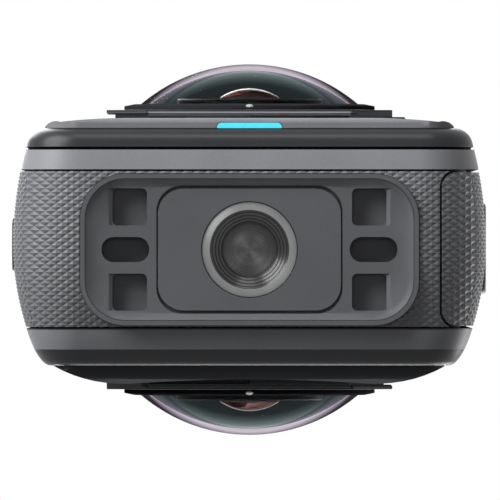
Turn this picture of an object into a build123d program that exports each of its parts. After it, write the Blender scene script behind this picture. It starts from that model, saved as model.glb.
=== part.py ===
from build123d import *
import os
from math import sqrt

# A pocket camera with two opposed fisheye lenses. Millimetres, +Z up. The origin is the middle of the
# base, on the plane that the camera stands on. The screen faces -Y and +X is the viewer's right.

# Clearances and allowances
overrun = 1.0                  # how far a cutter runs past the face it opens
bond_gap = 0.05                # glue line between curved faces of fixed pieces
slide_gap = 0.1                # side clearance round a sliding piece
rest_gap = 0.1                 # what is left below a button that is pressed home
button_gap = 0.15              # shadow line round a side button
seam_gap = 0.08                # shadow line between the grip and its bands
door_gap = 0.25                # shadow line round the battery door and the socket door
fuse_depth = 0.3               # how deep two forms of one piece run into each other

# Body outline, seen from the front
body_height = 124.0
rim_stand = 0.2                # the base mount's rim stands this far below the grip
grip_half_width = 22.69
body_corner_radius = 6.4

# Side crown, seen from above: how the sides draw in from the widest place
widest_y = -0.48
front_crown = 1.72
front_edge_depth = 1.26
front_edge_inset = 1.36
rear_crown = 2.7
rear_edge_depth = 2.3
rear_edge_inset = 0.75

# Stack from the front face to the rear face
front_face_depth = 12.6        # front face to the middle plane
front_panel_thickness = 0.94
front_frame_thickness = 1.83
front_gasket_thickness = 0.26
front_band_width = 1.89
rear_face_depth = 12.86        # rear face to the middle plane
rear_panel_thickness = 1.76
rear_frame_thickness = 1.54
rear_band_width = 2.01

# Walls of the rings
sleeve_wall = 1.2
frame_wall = 1.94
inner_corner_radius = 1.5
plate_reach = 4.5              # how far a frame plate's swept edge reaches in
front_gasket_recess = 0.3
rear_gasket_inset = 0.4
rear_gasket_width = 0.6
rear_gasket_thickness = 0.3

# Front panel's crown and rear panel's curve
panel_flat_inset = 10.79        # edge of the flat middle, in from the grip's widest face
panel_shoulder_width = 1.5
panel_shoulder_drop = 0.36
panel_side_height = 0.1
panel_end_round = 0.5
rear_panel_step = 0.4
rear_panel_flat_inset = 10.39
rear_panel_end_round = 3.0
trough_inset = 0.9             # shallow hollow down the rear panel, in from the flat's edge
trough_depth = 0.43

# Screen
glass_side_inset = 5.99        # glass edge in from the grip's widest face
glass_to_shutter_gap = 5.3
glass_corner_radius = 2.6
glass_gap = 0.1
screen_to_lens_gap = 3.3
display_ledge = 0.5            # how far the display is smaller than its glass, each side
display_thickness = 1.7

# Front controls
shutter_radius = 6.2
shutter_height = 15.5
switch_radius = 2.8
switch_x = 12.2
button_cap_gap = 0.2           # between a round button and its hole
button_proud = 0.15
button_flange_width = 0.7
button_flange_thickness = 0.6
button_cap_depth = 1.4
button_stem_radius = 1.5
front_button_travel = 0.3
switch_dome_height = 0.55
switch_dome_radius = 1.6
key_board_thickness = 0.6
key_board_margin = 1.2

# Light bar
light_half_width = 3.1
light_front_reach = 0.49       # in front of the parting line
light_rear_reach = 0.23        # behind it
light_corner_radius = 0.45
light_height = 2.2
light_stem_lift = 0.65
light_stem_inset = 0.1
light_gap = 0.05
light_board_half_width = 5.0
light_board_height = 4.6

# Lenses
lens_from_top = 22.5
dome_reach = 18.5              # dome's apex to the middle plane
dome_radius = 16.75
dome_middle_wall = 0.9         # glass thickness on the lens axis
dome_hollow_radius = 5.3
dome_edge_y = -14.0
lens_base_width = 28.4
lens_base_corner_cut = 3.9
lens_base_face_depth = 13.88
lens_lip_thickness = 0.35
lens_body_inset = 0.85         # how far the base's lower body is cut back under the lip at one side
lens_seat_gap = 0.15
lens_hub_radius = 12.4
lens_hub_bore_radius = 11.5
lens_hub_gap = 0.1
lens_slot_width = 9.9
lens_slot_thickness = 0.5
lens_slot_depth = 1.2
lens_slot_lift = 0.2
bezel_width = 25.0
bezel_sides = 16
bezel_face_depth = 14.51
bezel_bevel_width = 1.0
bezel_bevel_depth = 0.2
bezel_gap = 0.06
dome_seat_gap = 0.03
spigot_radius = 11.4
spigot_wall = 0.9
spigot_end_depth = 10.0
seal_groove_depth = 0.4
lens_seal_width = 0.6
lens_seal_from_end = 0.5
lens_seal_clearance = 0.05

# Lens barrels
barrel_radius = 10.2
barrel_wall = 1.6
barrel_end_depth = 2.2
barrel_flange_radius = 12.6
barrel_flange_thickness = 0.8
barrel_shoulder_radius = 9.6
barrel_shoulder_depth = 12.9
barrel_face_depth = 13.8
barrel_face_wall = 1.4
collar_radius = 4.2
collar_face_depth = 14.9
element_radius = 2.9
element_curve_radius = 5.2
element_apex_depth = 16.1
element_stem_length = 1.2
group_disc_count = 3
group_disc_thickness = 1.4
group_disc_pitch = 3.3
group_first_depth = 11.2
sensor_board_width = 21.0
sensor_board_thickness = 0.8
heat_block_width = 24.0

# Inner chassis and battery bay
chassis_wall = 0.8
chassis_half_depth = 7.8
chassis_bottom = 8.2
socket_bay_height = 24.9       # top of the battery bay to the bulkhead under the lenses
bay_left_gap = 4.9             # battery bay to the chassis side
bulkhead_drop = 16.0           # bulkhead's underside below the lens axis
barrel_hole_gap = 0.1
chassis_side_gap = 0.1
chassis_fillet = 1.0
pack_gap = 0.3
pack_left_gap = 0.5
plug_depth = 3.9               # from the pack to the plug's outer end
plug_corner_radius = 1.4
cover_wall = 1.1
door_reach_in = 4.24           # battery door's depth in from the grip's widest face
door_top_lift = 1.4            # battery door's top edge above the bay
door_corner_radius = 1.4
door_edge_gap = 0.1
battery_seal_thickness = 0.5
battery_seal_inset = 0.5
battery_seal_from_wall = 0.15
battery_seal_clearance = 0.05
contact_thickness = 0.4
contact_half_width = 4.0
contact_height = 10.0
contact_from_top = 4.0

# Battery latch
latch_width = 8.8
latch_length = 16.0
latch_middle_y = -0.1
latch_drop = 22.5              # latch's lower end below the door's top edge
latch_thickness = 1.0
latch_stand = 0.31             # latch's face in front of the grip's widest face
latch_corner_radius = 1.6
latch_edge_round = 0.3
latch_travel = 3.0
latch_floor_gap = 0.05

# Main board and heat plates
board_thickness = 0.8
main_board_side_gap = 4.4
main_board_drop = 6.5          # board's top edge below the bulkhead
board_end_gap = 0.3
shield_thickness = 0.8
shield_width = 24.0
shield_height = 26.0
shield_drop = 23.0             # shield's middle below the board's top edge
rear_heat_plate_thickness = 1.2
rear_heat_plate_drop = 3.5     # plate's top edge below the bulkhead

# Side buttons
side_button_width = 5.3
side_button_length = 11.0
side_button_middle_y = -0.6
side_button_stand = 0.31       # button's face in front of the grip's widest face
side_button_corner_radius = 2.4
side_button_edge_round = 0.2
side_button_travel = 0.35
side_pocket_depth = 0.54
side_stem_width = 3.0
side_stem_length = 6.0
side_stem_inset = 3.64         # stem's end in from the grip's widest face
power_button_drop = 11.4       # button's middle below the socket door
side_button_pitch = 15.0
side_switch_height = 0.6
side_board_thickness = 0.8
side_board_half_width = 4.0
side_board_margin = 3.0
side_pad_length = 3.0
side_pad_half_width = 3.0

# Socket bay: USB socket and card socket behind one door
socket_door_front_y = -4.2
hinge_y = 3.6
hinge_inset = 0.79             # pin's axis below the grip's widest face
hinge_barrel_radius = 0.75
hinge_pin_radius = 0.4
hinge_running_gap = 0.05
hinge_groove_gap = 0.25
socket_door_lift = 0.8         # socket door's lower edge above the battery bay
socket_door_height = 25.4
socket_door_wall = 1.12
socket_door_corner_radius = 1.0
hinge_lug_length = 1.0
hinge_lug_gap = 0.1
hinge_lug_half_width = 0.65
hinge_opening_gap = 0.35
socket_seal_thickness = 0.5
socket_seal_margin = 1.0
socket_pocket_depth = 0.6
socket_seal_gap = 0.2
io_board_y = -2.3
io_board_thickness = 0.8
io_board_right_x = 1.5
io_board_post_radius = 1.5
usb_width = 8.94
usb_thickness = 3.2
usb_length = 7.0
usb_shell_wall = 0.3
usb_tongue_thickness = 0.7
usb_tongue_inset = 1.2
usb_mouth_inset = 1.69         # socket's mouth in from the grip's widest face
usb_lift = 19.6                # socket's middle above the battery bay
usb_edge_flat = 0.036          # flat left between the rounds of the socket's ends
card_width = 11.0
card_length = 15.0
card_thickness = 1.0
card_inset = 2.09              # card's end in from the grip's widest face
card_lift = 8.2                # card's middle above the battery bay
card_travel = 0.8
card_socket_wall = 0.7
card_socket_lid = 0.35

# Speaker and microphones
speaker_thickness = 3.4
speaker_half_width = 5.0
speaker_height = 14.0
speaker_lift = 12.4            # speaker's middle above the battery bay
sound_hole_radius = 0.5
sound_hole_pitch = 2.2
sound_hole_count = 5
microphone_x = 8.0
microphone_width = 3.5
microphone_depth = 2.7
microphone_height = 1.0
microphone_gap = 0.2

# Base mount
rim_end_gap = 0.09             # rim's end to where the body's corner begins
rim_depth = 14.5
rim_corner_radius = 4.3
rim_wall = 0.45
mount_gap = 0.05
mount_flange_reach = 1.7       # flange's end past the rim
mount_flange_half_depth = 7.6
mount_flange_thickness = 1.2
latch_plate_lift = 0.05
latch_plate_gap = 0.05
latch_plate_top = 1.2
dish_width = 0.65
dish_depth = 0.3
tripod_plate_length = 17.5
tripod_plate_depth = 11.66
tripod_plate_corner_radius = 2.45
tripod_plate_end_gap = 0.15
tripod_plate_side_gap = 0.3
catch_inset = 3.1              # outer side of a catch pocket's floor in from the rim's end
catch_length = 3.3
catch_depth_y = 3.55
catch_ramp = 0.9
catch_corner_radius = 0.5
catch_from_middle = 2.3
catch_floor = 1.9
catch_ramp_depth = 0.5
pill_length = 4.57
pill_width = 2.4
pill_x = 11.87
pill_top = 3.0
bush_radius = 4.57
bush_top = 7.8
bush_end_wall = 0.8
bush_flange_radius = 6.2
bush_flange_thickness = 0.8
bush_ring_slope = 0.2          # how far the ring round the mouth falls away outwards
mouth_radius = 3.8
mouth_depth = 1.5
thread_radius = 2.58
magnet_length = 4.6
magnet_width = 3.0
magnet_thickness = 1.3

# Screws
mount_screw_inset = 0.8        # screw in from the flange's end
mount_screw_y = 4.5
mount_screw_head_radius = 0.8
mount_screw_head_height = 0.6
mount_screw_radius = 0.45
mount_screw_length = 2.3
housing_screw_inset = 1.7
housing_screw_head_radius = 1.05
housing_screw_head_height = 0.85
housing_screw_radius = 0.6
housing_screw_tip = 0.4
housing_screw_drop = 0.6       # middle screws below the top of the battery bay
lug_length = 1.6
drive_radius = 0.4
drive_depth = 0.3
head_gap = 0.05

# Derived places
base_z = rim_stand
body_middle_z = (body_height + base_z) / 2
lens_z = body_height - lens_from_top
front_y = -front_face_depth
front_parting_y = front_y + front_panel_thickness
front_frame_back_y = front_parting_y + front_frame_thickness
mid_front_y = front_frame_back_y + front_gasket_thickness
recess_front_y = mid_front_y + front_band_width
rear_y = rear_face_depth
rear_parting_y = rear_y - rear_panel_thickness
mid_rear_y = rear_parting_y - rear_frame_thickness
recess_rear_y = mid_rear_y - rear_band_width
sleeve_front_y = recess_front_y + seam_gap
sleeve_rear_y = recess_rear_y - seam_gap
recess_inset = sleeve_wall + bond_gap
inner_inset = recess_inset + frame_wall
inner_half_width = grip_half_width - inner_inset
inner_bottom = base_z + inner_inset
inner_top = body_height - inner_inset
chassis_top = inner_top - microphone_height - microphone_gap
chassis_half_width = inner_half_width - chassis_side_gap
board_back_y = -chassis_half_depth
board_front_y = board_back_y - board_thickness
key_board_front_y = board_front_y - key_board_thickness
panel_flat_half_width = grip_half_width - panel_flat_inset
rear_panel_flat_half_width = grip_half_width - rear_panel_flat_inset
trough_half_width = rear_panel_flat_half_width - trough_inset
glass_top = lens_z - lens_base_width / 2 - screen_to_lens_gap
glass_bottom = shutter_height + shutter_radius + glass_to_shutter_gap
glass_width = 2 * (grip_half_width - glass_side_inset)
glass_height = glass_top - glass_bottom
glass_middle_z = (glass_top + glass_bottom) / 2
bulkhead_bottom = lens_z - bulkhead_drop
bay_top = bulkhead_bottom - socket_bay_height
bay_left_x = bay_left_gap - chassis_half_width
bay_half_depth = chassis_half_depth - chassis_wall
bay_floor = chassis_bottom + chassis_wall
bay_ceiling = bay_top - chassis_wall
bay_end_x = bay_left_x + chassis_wall
door_left_x = grip_half_width - door_reach_in
door_top = bay_top + door_top_lift
latch_reach = grip_half_width + latch_stand
latch_bottom = door_top - latch_drop
main_board_half_width = chassis_half_width - main_board_side_gap
main_board_top = bulkhead_bottom - main_board_drop
shield_middle = main_board_top - shield_drop
rear_heat_plate_top = bulkhead_bottom - rear_heat_plate_drop
housing_screw_middle = bay_top - housing_screw_drop
speaker_middle = bay_top + speaker_lift
socket_door_bottom = bay_top + socket_door_lift
usb_mouth_reach = grip_half_width - usb_mouth_inset
usb_middle = bay_top + usb_lift
card_reach = grip_half_width - card_inset
card_middle = bay_top + card_lift
side_button_reach = grip_half_width + side_button_stand
side_stem_reach = grip_half_width - side_stem_inset
power_button_height = socket_door_bottom - power_button_drop
quick_button_height = power_button_height - side_button_pitch
rim_length = 2 * (grip_half_width - body_corner_radius - rim_end_gap)
mount_flange_half_length = rim_length / 2 + mount_flange_reach
mount_screw_x = mount_flange_half_length - mount_screw_inset
catch_outer_x = rim_length / 2 - catch_inset


def box(x_range, y_range, z_range):
    """A box between two limits on each axis."""
    spans = [high - low for low, high in (x_range, y_range, z_range)]
    middles = [(low + high) / 2 for low, high in (x_range, y_range, z_range)]
    return Pos(*middles) * Box(*spans)


def rounded_plan(width, depth, radius, z_range, x=0, y=0):
    """A prism along Z with a rounded rectangle for its plan."""
    low, high = z_range
    face = Plane.XY.offset(low) * Pos(x, y) * RectangleRounded(width, depth, radius)
    return extrude(face, high - low)


def rounded_front(width, height, radius, y_range, x=0, z=0):
    """A prism along Y with a rounded rectangle for its front view."""
    low, high = y_range
    plane = Plane(origin=(x, low, z), x_dir=(1, 0, 0), z_dir=(0, 1, 0))
    return extrude(plane * RectangleRounded(width, height, radius), high - low)


def rounded_side(depth, height, radius, x_range, y=0, z=0):
    """A prism along X with a rounded rectangle for its side view."""
    low, high = x_range
    plane = Plane(origin=(low, y, z), x_dir=(0, 1, 0), z_dir=(1, 0, 0))
    return extrude(plane * RectangleRounded(depth, height, radius), high - low)


def rod_y(radius, y_range, x=0, z=0):
    """A cylinder along Y."""
    low, high = y_range
    plane = Plane(origin=(x, low, z), x_dir=(1, 0, 0), z_dir=(0, 1, 0))
    return extrude(plane * Circle(radius), high - low)


def rod_z(radius, z_range, x=0, y=0):
    """A cylinder along Z."""
    low, high = z_range
    return extrude(Plane.XY.offset(low) * Pos(x, y) * Circle(radius), high - low)


def rod_x(radius, x_range, y=0, z=0):
    """A cylinder along X."""
    low, high = x_range
    plane = Plane(origin=(low, y, z), x_dir=(0, 1, 0), z_dir=(1, 0, 0))
    return extrude(plane * Circle(radius), high - low)


def turned_about_lens(outline):
    """A solid of revolution about the lens axis, from (radius, y) points."""
    face = make_face(Polyline(*[(radius, y) for radius, y in outline], close=True))
    return revolve(Plane.XY.offset(lens_z) * face, Axis((0, 0, lens_z), (0, 1, 0)))


def to_rear(piece):
    """The same piece on the rear side, turned half round the upright axis."""
    return piece.rotate(Axis.Z, 180)


def joined(pieces):
    """All the pieces fused into one."""
    whole = pieces[0]
    for piece in pieces[1:]:
        whole = whole + piece
    return whole


def draw_in(y):
    """How far the side has drawn in from its widest place, at one depth."""
    if y < widest_y:
        crown, face_y, depth, inset = front_crown, front_parting_y, front_edge_depth, front_edge_inset
    else:
        crown, face_y, depth, inset = rear_crown, rear_parting_y, rear_edge_depth, rear_edge_inset
    share = (y - widest_y) / (face_y - widest_y)
    edge_share = (abs(y) - abs(face_y) + depth) / depth
    edge_share = min(max(edge_share, 0), 1)
    return crown * share ** 2 + inset * (1 - sqrt(1 - edge_share ** 2))


def side_x(y, inset=0):
    """The body's half width at one depth, less an inset."""
    return grip_half_width - draw_in(y) - inset


def side_curve(y_from, y_to, inset=0, arcs=3):
    """The side's outline between two depths, as arcs end to end."""
    step = (y_to - y_from) / arcs
    edges = []
    for index in range(arcs):
        start = y_from + index * step
        depths = (start, start + step / 2, start + step)
        edges.append(ThreePointArc(*[(side_x(depth, inset), depth) for depth in depths]))
    return edges


def body_path():
    """The path round the body at its widest, seen from the front."""
    radius = body_corner_radius
    corner = radius * (1 - sqrt(2) / 2)
    edges = []
    right, top, bottom = grip_half_width, body_height, base_z
    edges.append(Line((right, 0, body_middle_z), (right, 0, top - radius)))
    edges.append(ThreePointArc((right, 0, top - radius), (right - corner, 0, top - corner),
                               (right - radius, 0, top)))
    edges.append(Line((right - radius, 0, top), (radius - right, 0, top)))
    edges.append(ThreePointArc((radius - right, 0, top), (corner - right, 0, top - corner),
                               (-right, 0, top - radius)))
    edges.append(Line((-right, 0, top - radius), (-right, 0, bottom + radius)))
    edges.append(ThreePointArc((-right, 0, bottom + radius), (corner - right, 0, bottom + corner),
                               (radius - right, 0, bottom)))
    edges.append(Line((radius - right, 0, bottom), (right - radius, 0, bottom)))
    edges.append(ThreePointArc((right - radius, 0, bottom), (right - corner, 0, bottom + corner),
                               (right, 0, bottom + radius)))
    edges.append(Line((right, 0, bottom + radius), (right, 0, body_middle_z)))
    return Wire([edge.edge() for edge in edges])


def ring(curves):
    """A ring round the body from a closed outline of curves, drawn at its right side."""
    face = make_face(Wire([edge for curve in curves for edge in curve.edges()]))
    return sweep(Plane.XY.offset(body_middle_z) * face, path=body_path())


def plain_ring(y_from, y_to, outer_inset, inner_inset_from_widest):
    """A ring whose outer side follows the crown and whose inner side is straight."""
    inner_x = grip_half_width - inner_inset_from_widest
    curves = side_curve(y_from, y_to, outer_inset)
    curves.append(Line((side_x(y_to, outer_inset), y_to), (inner_x, y_to)))
    curves.append(Line((inner_x, y_to), (inner_x, y_from)))
    curves.append(Line((inner_x, y_from), (side_x(y_from, outer_inset), y_from)))
    return ring(curves)


def wall_ring(y_from, y_to, outer_inset, wall):
    """A ring of even wall that follows the crown."""
    inner = outer_inset + wall
    curves = side_curve(y_from, y_to, outer_inset)
    curves.append(Line((side_x(y_to, outer_inset), y_to), (side_x(y_to, inner), y_to)))
    curves.extend(side_curve(y_to, y_from, inner))
    curves.append(Line((side_x(y_from, inner), y_from), (side_x(y_from, outer_inset), y_from)))
    return ring(curves)


def body_prism(inset, y_range, radius=None):
    """A prism along Y of the body's front outline, inset all round."""
    width = 2 * (grip_half_width - inset)
    height = body_height - base_z - 2 * inset
    corner = body_corner_radius - inset if radius is None else radius
    return rounded_front(width, height, corner, y_range, z=body_middle_z)


def crowned_plate(y_from, y_to, inset=0):
    """A full plate whose edge follows the crown."""
    edge = plain_ring(y_from, y_to, inset, plate_reach + fuse_depth)
    return edge + body_prism(plate_reach, (y_from, y_to))


def panel_block(half_width, end_inset, corner, y_range):
    """A panel's plain block, before its crown is cut."""
    height = body_height - base_z - 2 * end_inset
    return rounded_front(2 * half_width, height, corner, y_range, z=body_middle_z)


def screw_along_y(x, z, head_y, direction, length):
    """A small screw with its head's outer face at head_y, pointing along direction."""
    head_end = head_y + direction * housing_screw_head_height
    tip = head_end + direction * length
    head = rod_y(housing_screw_head_radius, sorted((head_y, head_end)), x, z)
    drive = rod_y(drive_radius, sorted((head_y - direction * overrun, head_y + direction * drive_depth)), x, z)
    shank = rod_y(housing_screw_radius, sorted((head_end - direction * fuse_depth, tip)), x, z)
    return head + shank - drive


def housing_screw_places():
    """The places of the housing screws, as (x, z)."""
    reach = inner_half_width - housing_screw_inset
    heights = (inner_bottom + housing_screw_inset, housing_screw_middle, inner_top - housing_screw_inset)
    return [(side * reach, height) for side in (-1, 1) for height in heights]


def door_form(margin):
    """The space of the battery door, grown by a margin on every side but outwards."""
    y_from = sleeve_front_y + door_edge_gap - margin
    y_to = sleeve_rear_y - door_edge_gap + margin
    left = door_left_x - margin
    right = grip_half_width + overrun + margin
    radius = door_corner_radius + margin
    middle_y = (y_from + y_to) / 2
    turn = base_z + body_corner_radius
    under = rounded_plan(2 * (right - left), y_to - y_from, radius, (-overrun, turn), right, middle_y)
    height = door_top + margin
    side = rounded_side(y_to - y_from, 2 * (height - base_z), radius, (left, right), middle_y, base_z)
    above = box((left, right), (y_from - overrun, y_to + overrun), (turn - fuse_depth, height + overrun))
    return under + (side & above)


def battery_opening(margin, x_range):
    """The battery bay's way out, less a margin all round."""
    depth = 2 * (bay_half_depth - margin)
    height = bay_ceiling - bay_floor - 2 * margin
    middle = (bay_ceiling + bay_floor) / 2
    return rounded_side(depth, height, plug_corner_radius, x_range, 0, middle)


def side_button_places():
    """The names and heights of the two side buttons."""
    return {"power_button": power_button_height, "quick_button": quick_button_height}


def socket_window(margin, x_range):
    """The socket door's window in the grip, grown by a margin."""
    y_to = hinge_y + hinge_barrel_radius + margin
    y_from = socket_door_front_y - margin
    height = socket_door_height + 2 * margin
    middle = socket_door_bottom + socket_door_height / 2
    radius = socket_door_corner_radius
    return rounded_side(y_to - y_from, height, radius, x_range, (y_from + y_to) / 2, middle)


hinge_x = hinge_inset - grip_half_width
socket_door_top = socket_door_bottom + socket_door_height
barrel_bottom = socket_door_bottom + hinge_lug_length + 2 * hinge_lug_gap
barrel_top = socket_door_top - hinge_lug_length - 2 * hinge_lug_gap
recess_x = grip_half_width - recess_inset


def hinge_lug_ranges():
    """The height ranges of the hinge's two lugs."""
    low = socket_door_bottom + hinge_lug_gap
    high = socket_door_top - hinge_lug_gap
    return [(low, low + hinge_lug_length), (high - hinge_lug_length, high)]


def socket_seal_form(margin, x_range):
    """The socket door's seal, grown by a margin for its pocket."""
    y_from = socket_door_front_y + socket_seal_margin - margin
    y_to = hinge_y - hinge_barrel_radius - socket_seal_margin / 2 + margin
    bottom = barrel_bottom + socket_seal_margin / 2 - margin
    top = barrel_top - socket_seal_margin / 2 + margin
    middle_y = (y_from + y_to) / 2
    return rounded_side(y_to - y_from, top - bottom, socket_door_corner_radius, x_range, middle_y,
                        (bottom + top) / 2)


def usb_form(margin, x_range):
    """The USB socket's outline, grown by a margin."""
    thickness = usb_thickness + 2 * margin
    middle_y = io_board_y + io_board_thickness + usb_thickness / 2
    return rounded_side(thickness, usb_width + 2 * margin, thickness / 2 - usb_edge_flat, x_range, middle_y,
                        usb_middle)


def card_form(margin, x_range):
    """The memory card's space, grown by a margin."""
    middle_y = io_board_y - card_socket_lid - slide_gap - card_thickness / 2
    reach_y = card_thickness / 2 + margin
    reach_z = card_width / 2 + margin
    return box(x_range, (middle_y - reach_y, middle_y + reach_y), (card_middle - reach_z, card_middle + reach_z))


def sound_hole_heights():
    """The heights of the speaker's sound holes."""
    first = speaker_middle - sound_hole_pitch * (sound_hole_count - 1) / 2
    return [first + index * sound_hole_pitch for index in range(sound_hole_count)]


def mount_opening(margin, z_range):
    """The base mount's opening, grown by a margin."""
    return rounded_plan(rim_length + 2 * margin, rim_depth + 2 * margin, rim_corner_radius + margin, z_range)


def outer_holes():
    """The holes that pass through the grip and the middle frame alike."""
    holes = [mount_opening(mount_gap, (-overrun, inner_bottom + overrun))]
    for height in sound_hole_heights():
        holes.append(rod_x(sound_hole_radius, (inner_half_width - overrun, grip_half_width + overrun), 0, height))
    for side in (-1, 1):
        holes.append(rod_z(sound_hole_radius, (inner_top - overrun, body_height + overrun), side * microphone_x))
    return holes


def make_grip_sleeve():
    """The textured sleeve round the body, open at the base mount, the battery door and the side."""
    sleeve = wall_ring(sleeve_front_y, sleeve_rear_y, 0, sleeve_wall)
    for hole in outer_holes():
        sleeve = sleeve - hole
    sleeve = sleeve - door_form(door_gap)
    outside = (-grip_half_width - overrun, -inner_half_width)
    for height in side_button_places().values():
        sleeve = sleeve - rounded_side(side_button_width + 2 * button_gap, side_button_length + 2 * button_gap,
                                       side_button_corner_radius + button_gap, outside,
                                       side_button_middle_y, height)
    return sleeve - socket_window(door_gap, outside)


def make_mid_frame():
    """The middle frame: its two smooth bands show in front of and behind the grip."""
    inner_x = inner_half_width - fuse_depth
    curves = side_curve(mid_front_y, recess_front_y, 0, 1)
    curves.append(Line((side_x(recess_front_y), recess_front_y),
                       (side_x(recess_front_y, recess_inset), recess_front_y)))
    curves.extend(side_curve(recess_front_y, recess_rear_y, recess_inset))
    curves.append(Line((side_x(recess_rear_y, recess_inset), recess_rear_y),
                       (side_x(recess_rear_y), recess_rear_y)))
    curves.extend(side_curve(recess_rear_y, mid_rear_y, 0, 1))
    curves.append(Line((side_x(mid_rear_y), mid_rear_y), (inner_x, mid_rear_y)))
    curves.append(Line((inner_x, mid_rear_y), (inner_x, mid_front_y)))
    curves.append(Line((inner_x, mid_front_y), (side_x(mid_front_y), mid_front_y)))
    frame = ring(curves)
    frame = frame - body_prism(inner_inset, (mid_front_y - overrun, mid_rear_y + overrun), inner_corner_radius)
    lug_radius = housing_screw_inset + fuse_depth
    for x, z in housing_screw_places():
        for y_range in ((mid_front_y, mid_front_y + lug_length), (mid_rear_y - lug_length, mid_rear_y)):
            frame = frame + rod_y(lug_radius, y_range, x, z)
        frame = frame - rod_y(housing_screw_radius, (mid_front_y - overrun, mid_front_y + lug_length + overrun), x, z)
        frame = frame - rod_y(housing_screw_radius, (mid_rear_y - lug_length - overrun, mid_rear_y + overrun), x, z)
    for hole in outer_holes():
        frame = frame - hole
    frame = frame - battery_opening(0, (inner_half_width - overrun, grip_half_width))
    frame = frame - cuts_for_side_buttons()
    for x_side in (-1, 1):
        for y_side in (-1, 1):
            frame = frame - rod_z(mount_screw_radius, (mount_screw_tip_z(), inner_bottom + overrun),
                                  x_side * mount_screw_x, y_side * mount_screw_y)
    return with_socket_bay(frame)


def cuts_for_side_buttons():
    """Pockets and stem holes of the side buttons in the middle frame."""
    cuts = []
    pocket_x = side_pocket_depth - recess_x
    for height in side_button_places().values():
        cuts.append(rounded_side(side_button_width + 2 * slide_gap, side_button_length + 2 * slide_gap,
                                 side_button_corner_radius, (-grip_half_width, pocket_x),
                                 side_button_middle_y, height))
        cuts.append(box((pocket_x - overrun, overrun - inner_half_width),
                        (side_button_middle_y - side_stem_width / 2 - slide_gap,
                         side_button_middle_y + side_stem_width / 2 + slide_gap),
                        (height - side_stem_length / 2 - slide_gap, height + side_stem_length / 2 + slide_gap)))
    return joined(cuts)


def with_socket_bay(frame):
    """The middle frame with its socket openings, seal pocket, hinge groove and hinge lugs."""
    through = (-grip_half_width, overrun - inner_half_width)
    frame = frame - socket_seal_form(socket_seal_gap, (-grip_half_width, socket_pocket_depth - recess_x))
    frame = frame - usb_form(slide_gap, through) - card_form(slide_gap, through)
    groove = rod_z(hinge_barrel_radius + hinge_groove_gap, (socket_door_bottom, socket_door_top), hinge_x, hinge_y)
    frame = frame - groove
    for z_range in hinge_lug_ranges():
        lug = box((hinge_x - hinge_lug_half_width + bond_gap, fuse_depth - recess_x + hinge_barrel_radius),
                  (hinge_y - hinge_lug_half_width, hinge_y + hinge_lug_half_width), z_range)
        frame = frame + lug
    pin_space = rod_z(hinge_pin_radius, (socket_door_bottom, socket_door_top), hinge_x, hinge_y)
    return frame - pin_space


def mount_screw_tip_z():
    """The height of a mount screw's tip."""
    return inner_bottom + mount_flange_thickness - mount_screw_length


def make_front_frame():
    """The dark front frame behind the front panel, with its openings."""
    frame = crowned_plate(front_parting_y, front_frame_back_y)
    through = (front_parting_y - overrun, front_frame_back_y + overrun)
    opening_width = glass_width - 2 * display_ledge + 2 * glass_gap
    opening_height = glass_height - 2 * display_ledge + 2 * glass_gap
    frame = frame - rounded_front(opening_width, opening_height, glass_corner_radius, through, z=glass_middle_z)
    frame = frame - rod_y(lens_hub_radius + lens_hub_gap, through, z=lens_z)
    for x, radius, z in front_buttons().values():
        frame = frame - rod_y(radius + button_cap_gap, through, x, z)
        frame = frame - rod_y(radius + button_flange_width + button_cap_gap,
                              (button_flange_y() - slide_gap, through[1]), x, z)
    frame = frame - light_form(light_gap)
    for x, z in housing_screw_places():
        frame = frame - rod_y(housing_screw_head_radius + head_gap,
                              (through[0], front_parting_y + housing_screw_head_height), x, z)
        frame = frame - rod_y(housing_screw_radius, through, x, z)
    return frame


def make_front_panel():
    """The front cover and the touch glass, cut from one crowned form."""
    half_width = side_x(front_parting_y)
    corner = body_corner_radius - draw_in(front_parting_y)
    block = panel_block(half_width, draw_in(front_parting_y), corner, (front_y, front_parting_y))
    shoulder_x = half_width - panel_shoulder_width
    shoulder_y = front_y + panel_shoulder_drop
    side_y = front_parting_y - panel_side_height
    shoulder_middle_share = 0.74
    crown_middle_share = 0.25
    middle_x = shoulder_x + panel_shoulder_width * shoulder_middle_share
    middle_y = shoulder_y + (side_y - shoulder_y) * crown_middle_share
    crown_x = (panel_flat_half_width + shoulder_x) / 2
    crown_y = front_y + panel_shoulder_drop * crown_middle_share
    curves = [Line((-panel_flat_half_width, front_y), (panel_flat_half_width, front_y))]
    for side in (1, -1):
        curves.append(ThreePointArc((side * panel_flat_half_width, front_y), (side * crown_x, crown_y),
                                    (side * shoulder_x, shoulder_y)))
        curves.append(ThreePointArc((side * shoulder_x, shoulder_y), (side * middle_x, middle_y),
                                    (side * half_width, side_y)))
        curves.append(Line((side * half_width, side_y), (side * half_width, front_parting_y)))
    curves.append(Line((half_width, front_parting_y), (-half_width, front_parting_y)))
    face = make_face(Wire([curve.edge() for curve in curves]))
    crown = extrude(Plane.XY.offset(-overrun) * face, body_height + 2 * overrun)
    form = block & crown
    for end_z, side in ((base_z + draw_in(front_parting_y), 1), (body_height - draw_in(front_parting_y), -1)):
        form = form - end_round_cutter(half_width, front_y, end_z, side, panel_end_round)
    whole = (front_y - overrun, front_parting_y + overrun)
    glass_space = rounded_front(glass_width + 2 * glass_gap, glass_height + 2 * glass_gap,
                                glass_corner_radius + glass_gap, whole, z=glass_middle_z)
    panel = form - glass_space - rod_y(lens_hub_radius + lens_hub_gap, whole, z=lens_z)
    for x, radius, z in front_buttons().values():
        panel = panel - rod_y(radius + button_cap_gap, whole, x, z)
    panel = panel - light_form(light_gap)
    glass = form & rounded_front(glass_width, glass_height, glass_corner_radius, whole, z=glass_middle_z)
    return panel, glass


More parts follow.
